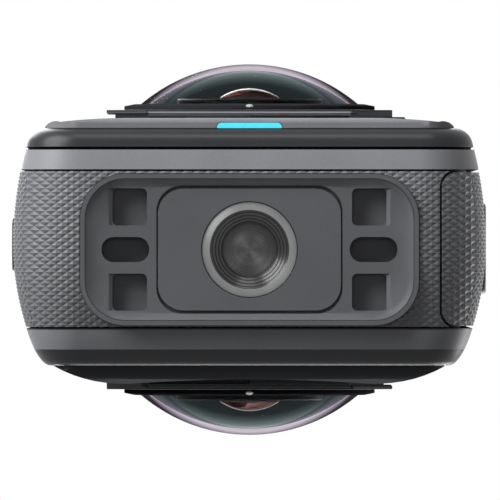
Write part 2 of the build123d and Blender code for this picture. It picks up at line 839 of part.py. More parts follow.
def end_round_cutter(half_width, face_y, end_z, side, radius):
    """What rounds the outer edge of a panel's end, as a bar along X."""
    inwards = 1 if face_y < 0 else -1
    middle_y = face_y + inwards * radius
    middle_z = end_z + side * radius
    bar = box((-half_width - overrun, half_width + overrun),
              sorted((face_y - inwards * overrun, middle_y)), sorted((end_z - side * overrun, middle_z)))
    return bar - rod_x(radius, (-half_width - 2 * overrun, half_width + 2 * overrun), middle_y, middle_z)


def make_rear_panel():
    """The curved rear cover, with the shallow trough down its middle and the lens seat."""
    end_inset = draw_in(rear_parting_y) + rear_panel_step
    half_width = side_x(rear_parting_y, rear_panel_step)
    corner = body_corner_radius - end_inset
    block = panel_block(half_width, end_inset, corner, (rear_parting_y, rear_y))
    run = half_width - rear_panel_flat_half_width
    curve_radius = (run ** 2 + rear_panel_thickness ** 2) / (2 * rear_panel_thickness)
    middle_run = run / 2
    middle_y = rear_y - curve_radius + sqrt(curve_radius ** 2 - middle_run ** 2)
    middle_x = rear_panel_flat_half_width + middle_run
    curves = [Line((-rear_panel_flat_half_width, rear_y), (rear_panel_flat_half_width, rear_y))]
    for side in (1, -1):
        curves.append(ThreePointArc((side * rear_panel_flat_half_width, rear_y), (side * middle_x, middle_y),
                                    (side * half_width, rear_parting_y)))
    curves.append(Line((half_width, rear_parting_y), (-half_width, rear_parting_y)))
    face = make_face(Wire([curve.edge() for curve in curves]))
    form = block & extrude(Plane.XY.offset(-overrun) * face, body_height + 2 * overrun)
    end_radius = (rear_panel_end_round ** 2 + rear_panel_thickness ** 2) / (2 * rear_panel_thickness)
    for end_z, side in ((base_z + end_inset, 1), (body_height - end_inset, -1)):
        middle_z = end_z + side * rear_panel_end_round
        bar = box((-half_width - overrun, half_width + overrun), (rear_parting_y - overrun, rear_y + overrun),
                  sorted((end_z - side * overrun, middle_z)))
        form = form - (bar - rod_x(end_radius, (-half_width - 2 * overrun, half_width + 2 * overrun),
                                   rear_y - end_radius, middle_z))
    trough_radius = (trough_half_width ** 2 + trough_depth ** 2) / (2 * trough_depth)
    form = form - rod_z(trough_radius, (-overrun, body_height + overrun), 0, rear_y - trough_depth + trough_radius)
    seat = octagon_prism(lens_base_width + 2 * lens_seat_gap, lens_base_corner_cut,
                         (front_face_depth, rear_y + overrun))
    form = form - seat - rod_y(lens_hub_radius + lens_hub_gap, (rear_parting_y - overrun, rear_y), z=lens_z)
    return form


def make_rear_frame():
    """The dark rear frame behind the rear band, with its gasket groove."""
    frame = crowned_plate(mid_rear_y, rear_parting_y)
    through = (mid_rear_y - overrun, rear_parting_y + overrun)
    frame = frame - rod_y(lens_hub_radius + lens_hub_gap, through, z=lens_z)
    for x, z in housing_screw_places():
        frame = frame - rod_y(housing_screw_head_radius + head_gap,
                              (rear_parting_y - housing_screw_head_height, through[1]), x, z)
        frame = frame - rod_y(housing_screw_radius, through, x, z)
    groove = plain_ring(mid_rear_y - overrun / 2, mid_rear_y + rear_gasket_thickness, rear_gasket_inset,
                        draw_in(mid_rear_y) + rear_gasket_inset + rear_gasket_width)
    return frame - groove


def make_rear_gasket():
    """The gasket in the rear frame's groove."""
    inner = draw_in(mid_rear_y) + rear_gasket_inset + rear_gasket_width - bond_gap
    return plain_ring(mid_rear_y, mid_rear_y + rear_gasket_thickness - bond_gap,
                      rear_gasket_inset + bond_gap, inner)


def make_front_gasket():
    """The black gasket between the front frame and the middle frame."""
    edge = plain_ring(front_frame_back_y, mid_front_y, front_gasket_recess, inner_inset + fuse_depth)
    inside = body_prism(inner_inset, (front_frame_back_y - overrun, mid_front_y + overrun), inner_corner_radius)
    return edge - inside


def front_buttons():
    """The round front buttons, as (x, radius, z)."""
    return {"shutter_button": (0, shutter_radius, shutter_height),
            "lens_switch_button": (switch_x, switch_radius, shutter_height)}


def button_flange_y():
    """The front side of a round button's flange."""
    return front_y - button_proud + button_cap_depth + button_flange_thickness / 2


def make_round_button(x, radius, z):
    """A round front button: a domed cap, its flange and its stem."""
    face_y = front_y - button_proud
    flange_y = button_flange_y()
    cap = rod_y(radius, (face_y, flange_y + fuse_depth), x, z)
    cap = fillet(cap.edges().group_by(Axis.Y)[0], button_proud)
    flange = rod_y(radius + button_flange_width, (flange_y, flange_y + button_flange_thickness), x, z)
    stem_end = key_board_front_y - switch_dome_height - rest_gap - front_button_travel
    stem = rod_y(button_stem_radius, (flange_y, stem_end), x, z)
    return cap + flange + stem


def make_front_key_board():
    """The board behind the front buttons, with its two snap domes."""
    left = -shutter_radius - key_board_margin
    right = switch_x + switch_radius + key_board_margin - bond_gap
    low = shutter_height - shutter_radius - key_board_margin / 2
    high = shutter_height + shutter_radius + key_board_margin
    board = box((left, right), (key_board_front_y, board_front_y), (low, high))
    for x, _, z in front_buttons().values():
        board = board + rod_y(switch_dome_radius, (key_board_front_y - switch_dome_height, board_front_y), x, z)
    return board


def light_form(margin):
    """The light bar: a window under the front panel's edge and a stem to its board."""
    bottom = base_z + draw_in(front_parting_y) - margin
    front = front_parting_y - light_front_reach - margin
    rear = front_parting_y + light_rear_reach + margin
    top = bottom + light_height + 2 * margin
    half_width = light_half_width + margin
    window = box((-half_width, half_width), (front, rear), (bottom - margin * 2, top))
    corners = window.edges().filter_by(Axis.Z).group_by(Axis.Y)[0]
    window = fillet(corners, light_corner_radius)
    stem_low = bottom + light_stem_lift
    stem_half_width = half_width - light_stem_inset
    stem_end = key_board_front_y - light_gap + margin
    stem = box((-stem_half_width, stem_half_width), (rear - fuse_depth / 2, stem_end), (stem_low, top))
    return window + stem


def make_light_board():
    """The small board that lights the bar."""
    bottom = inner_bottom + board_end_gap
    return box((-light_board_half_width, light_board_half_width), (key_board_front_y, board_front_y),
               (bottom, bottom + light_board_height - fuse_depth))


def octagon_prism(width, corner_cut, y_range, x_shift=0):
    """A square plate with its corners cut, about the lens axis."""
    low, high = y_range
    half = width / 2
    plane = Plane(origin=(x_shift, low, lens_z), x_dir=(1, 0, 0), z_dir=(0, 1, 0))
    points = []
    for x_side, z_side, first in ((1, 1, True), (-1, 1, False), (-1, -1, True), (1, -1, False)):
        upright = (x_side * half, z_side * (half - corner_cut))
        level = (x_side * (half - corner_cut), z_side * half)
        points.extend((upright, level) if first else (level, upright))
    return extrude(plane * make_face(Polyline(*points, close=True)), high - low)


def make_lens_base():
    """The fixed octagonal lens base: lip, lower body, hub and the slot in its underside."""
    lip_y = lens_lip_thickness - lens_base_face_depth
    lip = octagon_prism(lens_base_width, lens_base_corner_cut, (-lens_base_face_depth, lip_y))
    body_width = lens_base_width - lens_body_inset
    body = octagon_prism(body_width, lens_base_corner_cut - lens_body_inset / 2, (lip_y - fuse_depth / 2, front_y),
                         lens_body_inset / 2)
    hub_end = board_back_y - barrel_flange_thickness
    base = lip + body + rod_y(lens_hub_radius, (front_y - fuse_depth, hub_end), z=lens_z)
    base = base - rod_y(lens_hub_bore_radius, (-lens_base_face_depth - overrun, hub_end + overrun), z=lens_z)
    slot_low = front_y - lens_slot_lift - lens_slot_thickness
    slot = box((0, lens_slot_width), (slot_low, slot_low + lens_slot_thickness),
               (lens_z - lens_base_width / 2 - overrun, lens_z - lens_base_width / 2 + lens_slot_depth))
    return base - slot


def make_lens_bezel():
    """The twist-off bezel: a many-sided bevelled ring on a spigot, with the dome's seat."""
    rear = -lens_base_face_depth - bezel_gap
    plane = Plane(origin=(0, -bezel_face_depth, lens_z), x_dir=(1, 0, 0), z_dir=(0, 1, 0))
    outline = RegularPolygon(bezel_width / 2, bezel_sides)
    plate = extrude(plane * outline, bezel_face_depth + rear)
    half = bezel_width / 2
    cutter = turned_about_lens([(half - bezel_bevel_width, -bezel_face_depth - fuse_depth),
                                (half - bezel_bevel_width, -bezel_face_depth),
                                (half + bezel_bevel_width, -bezel_face_depth + 2 * bezel_bevel_depth),
                                (half + bezel_bevel_width, -bezel_face_depth - fuse_depth)])
    plate = plate - cutter
    spigot = rod_y(spigot_radius, (rear - bezel_gap, -spigot_end_depth), z=lens_z)
    bezel = plate + spigot
    bore = rod_y(spigot_radius - spigot_wall, (-bezel_face_depth - overrun, overrun - spigot_end_depth), z=lens_z)
    seat = dome_ball(dome_radius + dome_seat_gap) & box((-bezel_width, bezel_width), (-dome_reach - overrun, dome_edge_y),
                                                        (lens_z - bezel_width, lens_z + bezel_width))
    groove_y = lens_seal_range(0)
    groove = rod_y(spigot_radius + overrun, groove_y, z=lens_z)
    groove = groove - rod_y(spigot_radius - seal_groove_depth, groove_y, z=lens_z)
    return bezel - bore - seat - groove


def lens_seal_range(margin):
    """The depth range of the lens seal in its groove."""
    high = -spigot_end_depth - lens_seal_from_end
    return (high - lens_seal_width + margin, high - margin)


def make_lens_seal():
    """The seal ring in the spigot's groove."""
    y_range = lens_seal_range(bond_gap / 2)
    ring_form = rod_y(lens_hub_bore_radius - lens_seal_clearance, y_range, z=lens_z)
    return ring_form - rod_y(spigot_radius - seal_groove_depth, y_range, z=lens_z)


def dome_ball(radius):
    """A ball about the centre of the dome's curve."""
    return Pos(0, dome_radius - dome_reach, lens_z) * Sphere(radius)


def make_lens_dome():
    """The glass dome: a thick cap of a sphere with a small round hollow over the inner element."""
    hollow = Pos(0, dome_hollow_radius + dome_middle_wall - dome_reach, lens_z) * Sphere(dome_hollow_radius)
    return (dome_ball(dome_radius) - hollow) & box((-bezel_width, bezel_width), (-dome_reach - overrun, dome_edge_y),
                       (lens_z - bezel_width, lens_z + bezel_width))


def make_lens_barrel():
    """The fixed black barrel: collar and face under the dome, body and mounting flange."""
    flange_front = board_back_y - barrel_flange_thickness
    hole = element_radius + bond_gap
    bore = barrel_radius - barrel_wall
    points = [(hole, -collar_face_depth), (collar_radius, -collar_face_depth), (collar_radius, -barrel_face_depth),
              (barrel_shoulder_radius, -barrel_face_depth), (barrel_shoulder_radius, -barrel_shoulder_depth),
              (barrel_radius, -barrel_shoulder_depth), (barrel_radius, flange_front),
              (barrel_flange_radius, flange_front), (barrel_flange_radius, board_back_y),
              (barrel_radius, board_back_y), (barrel_radius, -barrel_end_depth), (bore, -barrel_end_depth),
              (bore, barrel_face_wall - barrel_face_depth), (hole, barrel_face_wall - barrel_face_depth)]
    return turned_about_lens(points)


def make_inner_element():
    """The small strongly curved glass element in the middle of the cup."""
    centre_y = element_curve_radius - element_apex_depth
    ball = Pos(0, centre_y, lens_z) * Sphere(element_curve_radius)
    edge_y = centre_y - sqrt(element_curve_radius ** 2 - element_radius ** 2)
    stem_end = edge_y + element_stem_length
    stem = rod_y(element_radius, (-element_apex_depth - overrun, stem_end), z=lens_z)
    return ball & stem


def make_lens_group():
    """The glass elements held in the barrel."""
    radius = barrel_radius - barrel_wall - bond_gap
    discs = []
    for index in range(group_disc_count):
        front = -group_first_depth + index * group_disc_pitch
        discs.append(rod_y(radius, (front, front + group_disc_thickness), z=lens_z))
    return Compound(children=[disc.solid() for disc in discs])


def make_sensor_boards():
    """The two square sensor boards behind the barrels."""
    half = sensor_board_width / 2
    front = box((-half, half), (-barrel_end_depth, sensor_board_thickness - barrel_end_depth),
                (lens_z - half, lens_z + half))
    return Compound(children=[front.solid(), to_rear(front).solid()])


def make_heat_block():
    """The metal block between the two sensor boards."""
    half = heat_block_width / 2
    reach = barrel_end_depth - sensor_board_thickness
    return box((-half, half), (-reach, reach), (lens_z - half, lens_z + half))


def make_chassis():
    """The inner chassis: battery bay below, open web in the middle, lens box above."""
    depth = (-chassis_half_depth, chassis_half_depth)
    inside = (-bay_half_depth, bay_half_depth)
    low_part = box((bay_left_x, inner_half_width), depth, (chassis_bottom, bulkhead_bottom + chassis_wall))
    high_part = box((-chassis_half_width, chassis_half_width), depth, (bulkhead_bottom, chassis_top))
    chassis = low_part + high_part
    chassis = chassis - battery_opening(0, (bay_end_x, inner_half_width + overrun))
    chassis = chassis - box((bay_left_x - overrun, inner_half_width + overrun), inside, (bay_top, bulkhead_bottom))
    lens_box_half = chassis_half_width - chassis_wall
    chassis = chassis - box((-lens_box_half, lens_box_half), inside,
                            (bulkhead_bottom + chassis_wall, chassis_top - chassis_wall))
    hole = barrel_radius + barrel_hole_gap
    chassis = chassis - rod_y(hole, (-chassis_half_depth - overrun, chassis_half_depth + overrun), z=lens_z)
    for low in side_pad_heights():
        chassis = chassis + box((side_board_inner_x(), bay_left_x + fuse_depth),
                                (-side_pad_half_width, side_pad_half_width), (low, low + side_pad_length))
    for height in io_post_heights():
        chassis = chassis + rod_y(io_board_post_radius, (-bay_half_depth - fuse_depth, io_board_y),
                                  io_post_x(), height)
    return chassis


def io_post_x():
    """Where the posts of the socket board stand."""
    return io_board_right_x - 2 * io_board_post_radius


def io_post_heights():
    """The heights of the socket board's posts."""
    reach = 2 * io_board_post_radius
    return (bay_top + reach, bulkhead_bottom - reach)


def side_board_inner_x():
    """The side key board's inner face."""
    return side_board_thickness + side_switch_height + side_button_travel + rest_gap - side_stem_reach


def side_board_range():
    """The side key board's lowest and highest edge."""
    reach = side_button_length / 2 + side_board_margin
    return (quick_button_height - reach, power_button_height + reach)


def side_pad_heights():
    """The lower edges of the chassis pads behind the side key board."""
    low, high = side_board_range()
    middle = (low + high - side_pad_length) / 2
    return (low, middle, high - side_pad_length)


def make_side_button(height):
    """A side button: a proud rounded cap on a stem."""
    cap_inner = side_pocket_depth - recess_x - rest_gap - side_button_travel
    cap = rounded_side(side_button_width, side_button_length, side_button_corner_radius,
                       (-side_button_reach, cap_inner), side_button_middle_y, height)
    cap = fillet(cap.edges().group_by(Axis.X)[0], side_button_edge_round)
    half_width = side_stem_width / 2
    half_length = side_stem_length / 2
    stem = box((cap_inner - fuse_depth, -side_stem_reach),
               (side_button_middle_y - half_width, side_button_middle_y + half_width),
               (height - half_length, height + half_length))
    return cap + stem


def make_side_key_board():
    """The board behind the side buttons, with its snap domes."""
    inner = side_board_inner_x()
    outer = inner - side_board_thickness
    board = box((outer, inner), (-side_board_half_width, side_board_half_width), side_board_range())
    for height in side_button_places().values():
        board = board + rod_x(switch_dome_radius, (outer - side_switch_height, inner), side_button_middle_y, height)
    return board


def make_main_board():
    """The main board, in front of the battery bay."""
    return box((-main_board_half_width, main_board_half_width), (board_front_y, board_back_y),
               (inner_bottom + board_end_gap, main_board_top))


def make_shield():
    """The shield over the processor on the main board."""
    half = shield_width / 2
    can = box((-half, half), (board_front_y - shield_thickness, board_front_y),
              (shield_middle - shield_height / 2, shield_middle + shield_height / 2))
    rim = shield_thickness / 2
    inside = box((rim - half, half - rim), (board_front_y - rim, board_front_y + overrun),
                 (shield_middle - shield_height / 2 + rim, shield_middle + shield_height / 2 - rim))
    return can - inside


def make_rear_heat_plate():
    """The heat plate behind the battery bay."""
    return box((-main_board_half_width, main_board_half_width),
               (chassis_half_depth, chassis_half_depth + rear_heat_plate_thickness),
               (chassis_bottom, rear_heat_plate_top))


def make_display():
    """The display module behind the glass."""
    return rounded_front(glass_width - 2 * display_ledge, glass_height - 2 * display_ledge,
                         glass_corner_radius - glass_gap, (front_parting_y, front_parting_y + display_thickness),
                         z=glass_middle_z)


def pack_right_x():
    """Where the battery pack ends and its plug begins."""
    return recess_x - plug_depth


def make_battery_pack():
    """The battery pack in its bay."""
    half_depth = bay_half_depth - pack_gap
    height = bay_ceiling - bay_floor - 2 * pack_gap
    middle = (bay_ceiling + bay_floor) / 2
    return rounded_side(2 * half_depth, height, plug_corner_radius, (bay_end_x + pack_left_gap, pack_right_x()),
                        0, middle)


def battery_seal_x_range():
    """The range along X of the seal in the bay's mouth."""
    low = inner_half_width + battery_seal_from_wall
    return (low, low + battery_seal_thickness)


def make_battery_cover():
    """The battery door's outer skin, with the latch's pocket."""
    skin = wall_ring(sleeve_front_y, sleeve_rear_y, 0, cover_wall) & door_form(0)
    return skin - latch_pocket()


def latch_pocket():
    """The space that the latch slides in."""
    floor_x = latch_reach - latch_thickness - latch_floor_gap
    length = latch_length + latch_travel + 2 * slide_gap
    return rounded_side(latch_width + 2 * slide_gap, length, latch_corner_radius + slide_gap,
                        (floor_x, latch_reach + overrun), latch_middle_y,
                        latch_bottom - slide_gap + length / 2)


def make_battery_plug():
    """The plug behind the battery door, which fills the bay's mouth and carries its seal."""
    body_form = crowned_plate(sleeve_front_y, sleeve_rear_y, cover_wall)
    plug = battery_opening(slide_gap, (pack_right_x(), grip_half_width + overrun)) & body_form
    seal_range = battery_seal_x_range()
    groove = battery_opening(-overrun, seal_range) - battery_opening(slide_gap + battery_seal_inset, seal_range)
    return plug - groove - latch_pocket()


def make_battery_seal():
    """The seal round the battery's plug."""
    seal_range = battery_seal_x_range()
    outer = battery_opening(battery_seal_clearance, seal_range)
    return outer - battery_opening(slide_gap + battery_seal_inset, seal_range)


def make_battery_latch():
    """The slider that locks the battery door."""
    slider = rounded_side(latch_width, latch_length, latch_corner_radius,
                          (latch_reach - latch_thickness, latch_reach), latch_middle_y,
                          latch_bottom + latch_length / 2)
    return fillet(slider.edges().group_by(Axis.X)[-1], latch_edge_round)


def make_battery_contacts():
    """The contact block at the bay's closed end."""
    top = bay_ceiling - contact_from_top
    return box((bay_end_x, bay_end_x + contact_thickness), (-contact_half_width, contact_half_width),
               (top - contact_height, top))


def make_socket_door():
    """The hinged door over the USB socket and the card."""
    skin = wall_ring(sleeve_front_y, sleeve_rear_y, 0, socket_door_wall)
    outside = (-grip_half_width - overrun, -inner_half_width)
    leaf = skin & socket_window(0, outside)
    hinge_side = hinge_y - hinge_barrel_radius
    leaf = leaf - box(outside, (hinge_y, hinge_y + 2 * hinge_barrel_radius + overrun),
                      (socket_door_bottom - overrun, socket_door_top + overrun))
    for low, high in hinge_lug_ranges():
        leaf = leaf - box(outside, (hinge_side - hinge_lug_gap, hinge_y + 2 * hinge_barrel_radius),
                          (low - 2 * hinge_lug_gap, high + hinge_lug_gap))
    barrel = rod_z(hinge_barrel_radius, (barrel_bottom, barrel_top), hinge_x, hinge_y)
    bore = rod_z(hinge_pin_radius + hinge_running_gap, (socket_door_bottom - overrun, socket_door_top + overrun),
                 hinge_x, hinge_y)
    return leaf + barrel - bore


def make_hinge_pin():
    """The socket door's pin, held in the middle frame's lugs."""
    lugs = hinge_lug_ranges()
    return rod_z(hinge_pin_radius, (lugs[0][0], lugs[1][1]), hinge_x, hinge_y)


def make_socket_seal():
    """The seal on the inside of the socket door."""
    face_x = socket_door_wall - grip_half_width
    seal = socket_seal_form(0, (face_x, face_x + socket_seal_thickness))
    return seal - wall_ring(sleeve_front_y, sleeve_rear_y, 0, socket_door_wall + bond_gap)


def make_io_board():
    """The board that carries the USB socket and the card socket."""
    return box((chassis_side_gap - inner_half_width, io_board_right_x), (io_board_y, io_board_y + io_board_thickness),
               (bay_top + board_end_gap, bulkhead_bottom - board_end_gap))


def make_usb_socket():
    """The USB socket: a shell with its tongue."""
    right = usb_length - usb_mouth_reach
    shell = usb_form(0, (-usb_mouth_reach, right))
    hollow = usb_form(-usb_shell_wall, (-usb_mouth_reach - overrun, right - usb_shell_wall))
    middle_y = io_board_y + io_board_thickness + usb_thickness / 2
    half = usb_width / 2 - usb_tongue_inset
    tongue = box((-usb_mouth_reach + usb_tongue_inset, right), (middle_y - usb_tongue_thickness / 2,
                 middle_y + usb_tongue_thickness / 2), (usb_middle - half, usb_middle + half))
    return shell - hollow + tongue


def make_card_socket():
    """The memory card's socket."""
    card = card_form(0, (-card_reach, card_length - card_reach)).bounding_box()
    slot_end = card.max.X + card_travel + slide_gap
    half = card_width / 2 + slide_gap + card_socket_wall
    socket = box((chassis_side_gap - inner_half_width, slot_end + card_socket_wall),
                 (card.min.Y - slide_gap - card_socket_lid, io_board_y), (card_middle - half, card_middle + half))
    return socket - card_form(slide_gap, (-card_reach, slot_end))


def make_speaker():
    """The speaker box against the right-hand wall."""
    return box((inner_half_width - speaker_thickness, inner_half_width), (-speaker_half_width, speaker_half_width),
               (speaker_middle - speaker_height / 2, speaker_middle + speaker_height / 2))


def make_microphones():
    """The two microphones under the top wall."""
    pair = []
    for side in (-1, 1):
        x = side * microphone_x
        pair.append(box((x - microphone_width / 2, x + microphone_width / 2),
                        (-microphone_depth / 2, microphone_depth / 2),
                        (inner_top - microphone_height, inner_top)))
    return Compound(children=[piece.solid() for piece in pair])


def catch_places():
    """The four catch pockets, as (side along X, side along Y)."""
    return [(x_side, y_side) for x_side in (-1, 1) for y_side in (-1, 1)]


def catch_cutter(x_side, y_side, top):
    """A catch pocket with the ramp at its outer end."""
    inner_x = catch_outer_x - catch_length
    middle_y = catch_from_middle + catch_depth_y / 2
    length = catch_length
    floor = rounded_plan(length, catch_depth_y, catch_corner_radius, (-overrun, top),
                         x_side * (inner_x + length / 2), y_side * middle_y)
    ramp_outline = [(catch_outer_x - catch_corner_radius, -overrun), (catch_outer_x + catch_ramp, -overrun),
                    (catch_outer_x + catch_ramp, latch_plate_lift),
                    (catch_outer_x, latch_plate_lift + catch_ramp_depth),
                    (catch_outer_x - catch_corner_radius, latch_plate_lift + catch_ramp_depth)]
    points = [(x_side * x, z) for x, z in ramp_outline]
    half = catch_depth_y / 2
    plane = Plane(origin=(0, y_side * middle_y - half, 0), x_dir=(1, 0, 0), z_dir=(0, -1, 0))
    ramp = extrude(plane * make_face(Polyline(*points, close=True)), -catch_depth_y)
    return floor + ramp


def pill_cutter(x_side, z_range):
    """One of the two deep pill-shaped holes beside the catches."""
    return rounded_plan(pill_length, pill_width, pill_width / 2 - bond_gap, z_range, x_side * pill_x, 0)


def make_mount_frame():
    """The mount's carrier: rim, floor and the flange inside the body."""
    flange_top = inner_bottom + mount_flange_thickness
    carrier = mount_opening(0, (0, inner_bottom))
    flange = rounded_plan(2 * mount_flange_half_length, 2 * mount_flange_half_depth, rim_corner_radius,
                          (inner_bottom, flange_top))
    carrier = carrier + flange
    recess = rounded_plan(rim_length - 2 * rim_wall, rim_depth - 2 * rim_wall, rim_corner_radius - rim_wall,
                          (-overrun, latch_plate_top))
    carrier = carrier - recess
    for x_side, y_side in catch_places():
        carrier = carrier - catch_cutter(x_side, y_side, catch_floor)
    for x_side in (-1, 1):
        carrier = carrier - pill_cutter(x_side, (0, pill_top))
    carrier = carrier - rod_z(bush_radius + mount_gap, (0, flange_top + overrun))
    for x_side, y_side in catch_places():
        carrier = carrier - rod_z(mount_screw_radius, (inner_bottom - overrun, flange_top + overrun),
                                  x_side * mount_screw_x, y_side * mount_screw_y)
    return carrier


def make_latch_plate():
    """The plate inside the rim: dished edge, catch pockets, pill holes and the tripod plate's opening."""
    gap = rim_wall + latch_plate_gap
    length = rim_length - 2 * gap
    depth = rim_depth - 2 * gap
    corner = rim_corner_radius - gap
    plate = rounded_plan(length, depth, corner, (latch_plate_lift, latch_plate_top))
    outer_face = Plane.XY.offset(latch_plate_lift) * RectangleRounded(length, depth, corner)
    inner_face = Plane.XY.offset(latch_plate_lift + dish_depth) * RectangleRounded(
        length - 2 * dish_width, depth - 2 * dish_width, corner - dish_width)
    plate = plate - loft([outer_face, inner_face])
    opening = rounded_plan(tripod_plate_length + 2 * tripod_plate_end_gap,
                           tripod_plate_depth + 2 * tripod_plate_side_gap,
                           tripod_plate_corner_radius, (-overrun, latch_plate_top + overrun))
    plate = plate - opening
    for x_side, y_side in catch_places():
        plate = plate - catch_cutter(x_side, y_side, latch_plate_top + overrun)
    for x_side in (-1, 1):
        plate = plate - pill_cutter(x_side, (-overrun, latch_plate_top + overrun))
    return plate


def tripod_face_z():
    """The underside of the tripod plate and bush."""
    return latch_plate_lift + dish_depth


def make_tripod_plate():
    """The central plate round the tripod bush."""
    plate = rounded_plan(tripod_plate_length, tripod_plate_depth, tripod_plate_corner_radius,
                         (tripod_face_z(), latch_plate_top))
    return plate - rod_z(bush_radius + mount_gap, (0, latch_plate_top + overrun))


def make_tripod_bush():
    """The metal bush with the blind tripod hole."""
    low = tripod_face_z()
    flange_bottom = inner_bottom + mount_flange_thickness
    bore_z = low + mouth_depth
    bore_end = bush_top - bush_end_wall
    points = [(0, bore_end), (thread_radius, bore_end), (thread_radius, bore_z), (mouth_radius, low),
              (bush_radius, low + bush_ring_slope), (bush_radius, flange_bottom),
              (bush_flange_radius, flange_bottom), (bush_flange_radius, flange_bottom + bush_flange_thickness),
              (bush_radius, flange_bottom + bush_flange_thickness), (bush_radius, bush_top), (0, bush_top)]
    face = make_face(Polyline(*points, close=True))
    return revolve(Plane.XZ * face, Axis.Z)


def make_mount_magnets():
    """The two magnets over the pill holes."""
    low = inner_bottom + mount_flange_thickness
    pair = []
    for side in (-1, 1):
        x = side * pill_x
        pair.append(box((x - magnet_length / 2, x + magnet_length / 2), (-magnet_width / 2, magnet_width / 2),
                        (low, low + magnet_thickness)))
    return Compound(children=[piece.solid() for piece in pair])


def make_mount_screws():
    """The four screws that hold the mount's flange to the middle frame."""
    head_low = inner_bottom + mount_flange_thickness
    screws = []
    for x_side, y_side in catch_places():
        x = x_side * mount_screw_x
        y = y_side * mount_screw_y
        head = rod_z(mount_screw_head_radius, (head_low, head_low + mount_screw_head_height), x, y)
        shank = rod_z(mount_screw_radius, (mount_screw_tip_z(), head_low + fuse_depth), x, y)
        drive = rod_z(drive_radius, (head_low + mount_screw_head_height - drive_depth, head_low + overrun), x, y)
        screws.append(head + shank - drive)
    return Compound(children=[screw.solid() for screw in screws])


def make_housing_screws():
    """The screws that hold the front and rear frames to the middle frame."""
    front_length = front_frame_thickness + front_gasket_thickness + lug_length
    front_length = front_length - housing_screw_head_height - housing_screw_tip
    rear_length = rear_frame_thickness + lug_length - housing_screw_head_height - housing_screw_tip
    screws = []
    for x, z in housing_screw_places():
        screws.append(screw_along_y(x, z, front_parting_y, 1, front_length))
        screws.append(screw_along_y(x, z, rear_parting_y, -1, rear_length))
    return Compound(children=[screw.solid() for screw in screws])


def all_pieces():
    """Every piece by its name."""
    panel, glass = make_front_panel()
    pieces = {
        "front_panel": panel,
        "touch_glass": glass,
        "display_module": make_display(),
        "front_frame": make_front_frame(),
        "front_gasket": make_front_gasket(),
        "mid_frame": make_mid_frame(),
        "grip_sleeve": make_grip_sleeve(),
        "rear_gasket": make_rear_gasket(),
        "rear_frame": make_rear_frame(),
        "rear_panel": make_rear_panel(),
        "inner_chassis": make_chassis(),
        "main_board": make_main_board(),
        "processor_shield": make_shield(),
        "rear_heat_plate": make_rear_heat_plate(),
        "heat_block": make_heat_block(),
        "sensor_boards": make_sensor_boards(),
        "light_bar": light_form(0),
        "light_board": make_light_board(),
        "front_key_board": make_front_key_board(),
        "side_key_board": make_side_key_board(),
        "battery_cover": make_battery_cover(),
        "battery_plug": make_battery_plug(),
        "battery_pack": make_battery_pack(),
        "battery_seal": make_battery_seal(),
        "battery_latch": make_battery_latch(),
        "battery_contacts": make_battery_contacts(),
        "socket_door": make_socket_door(),
        "socket_door_seal": make_socket_seal(),
        "socket_door_pin": make_hinge_pin(),
        "socket_board": make_io_board(),
        "usb_socket": make_usb_socket(),
        "card_socket": make_card_socket(),
        "memory_card": card_form(0, (-card_reach, card_length - card_reach)),
        "speaker": make_speaker(),
        "microphones": make_microphones(),
        "mount_frame": make_mount_frame(),
        "latch_plate": make_latch_plate(),
        "tripod_plate": make_tripod_plate(),
        "tripod_bush": make_tripod_bush(),
        "mount_magnets": make_mount_magnets(),
        "mount_screws": make_mount_screws(),
        "housing_screws": make_housing_screws(),
    }
    for name, place in front_buttons().items():
        pieces[name] = make_round_button(*place)
    for name, height in side_button_places().items():
        pieces[name] = make_side_button(height)
    lens_pieces = {
        "lens_base": make_lens_base(),
        "lens_bezel": make_lens_bezel(),
        "lens_dome": make_lens_dome(),
        "lens_seal": make_lens_seal(),
        "lens_barrel": make_lens_barrel(),
        "inner_element": make_inner_element(),
        "lens_group": make_lens_group(),
    }
    for name, piece in lens_pieces.items():
        pieces["front_" + name] = piece
        pieces["rear_" + name] = to_rear(piece)
    return pieces


os.makedirs("parts", exist_ok=True)
for node, solid in all_pieces().items():
    export_step(solid, "parts/" + node + ".step")
    print(node, round(solid.volume, 2))
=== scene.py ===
"""Looks of a pocket camera with two opposed fisheye lenses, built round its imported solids."""
import logging
import math
from dataclasses import dataclass, field
from enum import Enum
from typing import Callable, Iterable, Sequence

import bmesh
import bpy
from mathutils import Matrix, Vector


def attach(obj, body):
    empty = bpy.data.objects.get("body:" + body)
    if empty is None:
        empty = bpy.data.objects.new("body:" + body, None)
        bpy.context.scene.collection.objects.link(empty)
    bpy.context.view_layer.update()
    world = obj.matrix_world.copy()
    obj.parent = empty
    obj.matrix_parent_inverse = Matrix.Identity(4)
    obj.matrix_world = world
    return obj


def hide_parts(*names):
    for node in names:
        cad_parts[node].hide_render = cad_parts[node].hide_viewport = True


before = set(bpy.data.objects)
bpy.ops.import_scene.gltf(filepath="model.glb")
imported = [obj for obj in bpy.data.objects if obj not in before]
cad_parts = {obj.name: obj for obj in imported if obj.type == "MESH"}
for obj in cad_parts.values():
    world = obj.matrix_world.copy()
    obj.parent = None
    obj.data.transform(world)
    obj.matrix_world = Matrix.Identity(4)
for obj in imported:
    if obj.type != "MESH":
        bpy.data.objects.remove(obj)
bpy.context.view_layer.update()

LOG = logging.getLogger("pocket_camera")
MM = 0.001                        # metres in a millimetre
TINY = 1e-9                       # shorter than this is nothing
FINISH_MARK = "finish_"           # keeps these materials apart from the imported ones of the slots
NOISE_RANGE = (0.3, 0.7)          # where most values of a noise lie
ORIGIN, ACROSS, UP = Vector((0, 0, 0)), Vector((1, 0, 0)), Vector((0, 0, 1))
Colour = tuple[float, float, float]
Flat = tuple[float, float]
Socket = bpy.types.NodeSocket
ProfilePlace = Callable[[float], Flat]    # (radius, distance along the axis) by the turn angle
Distance = Callable[[Vector], float]


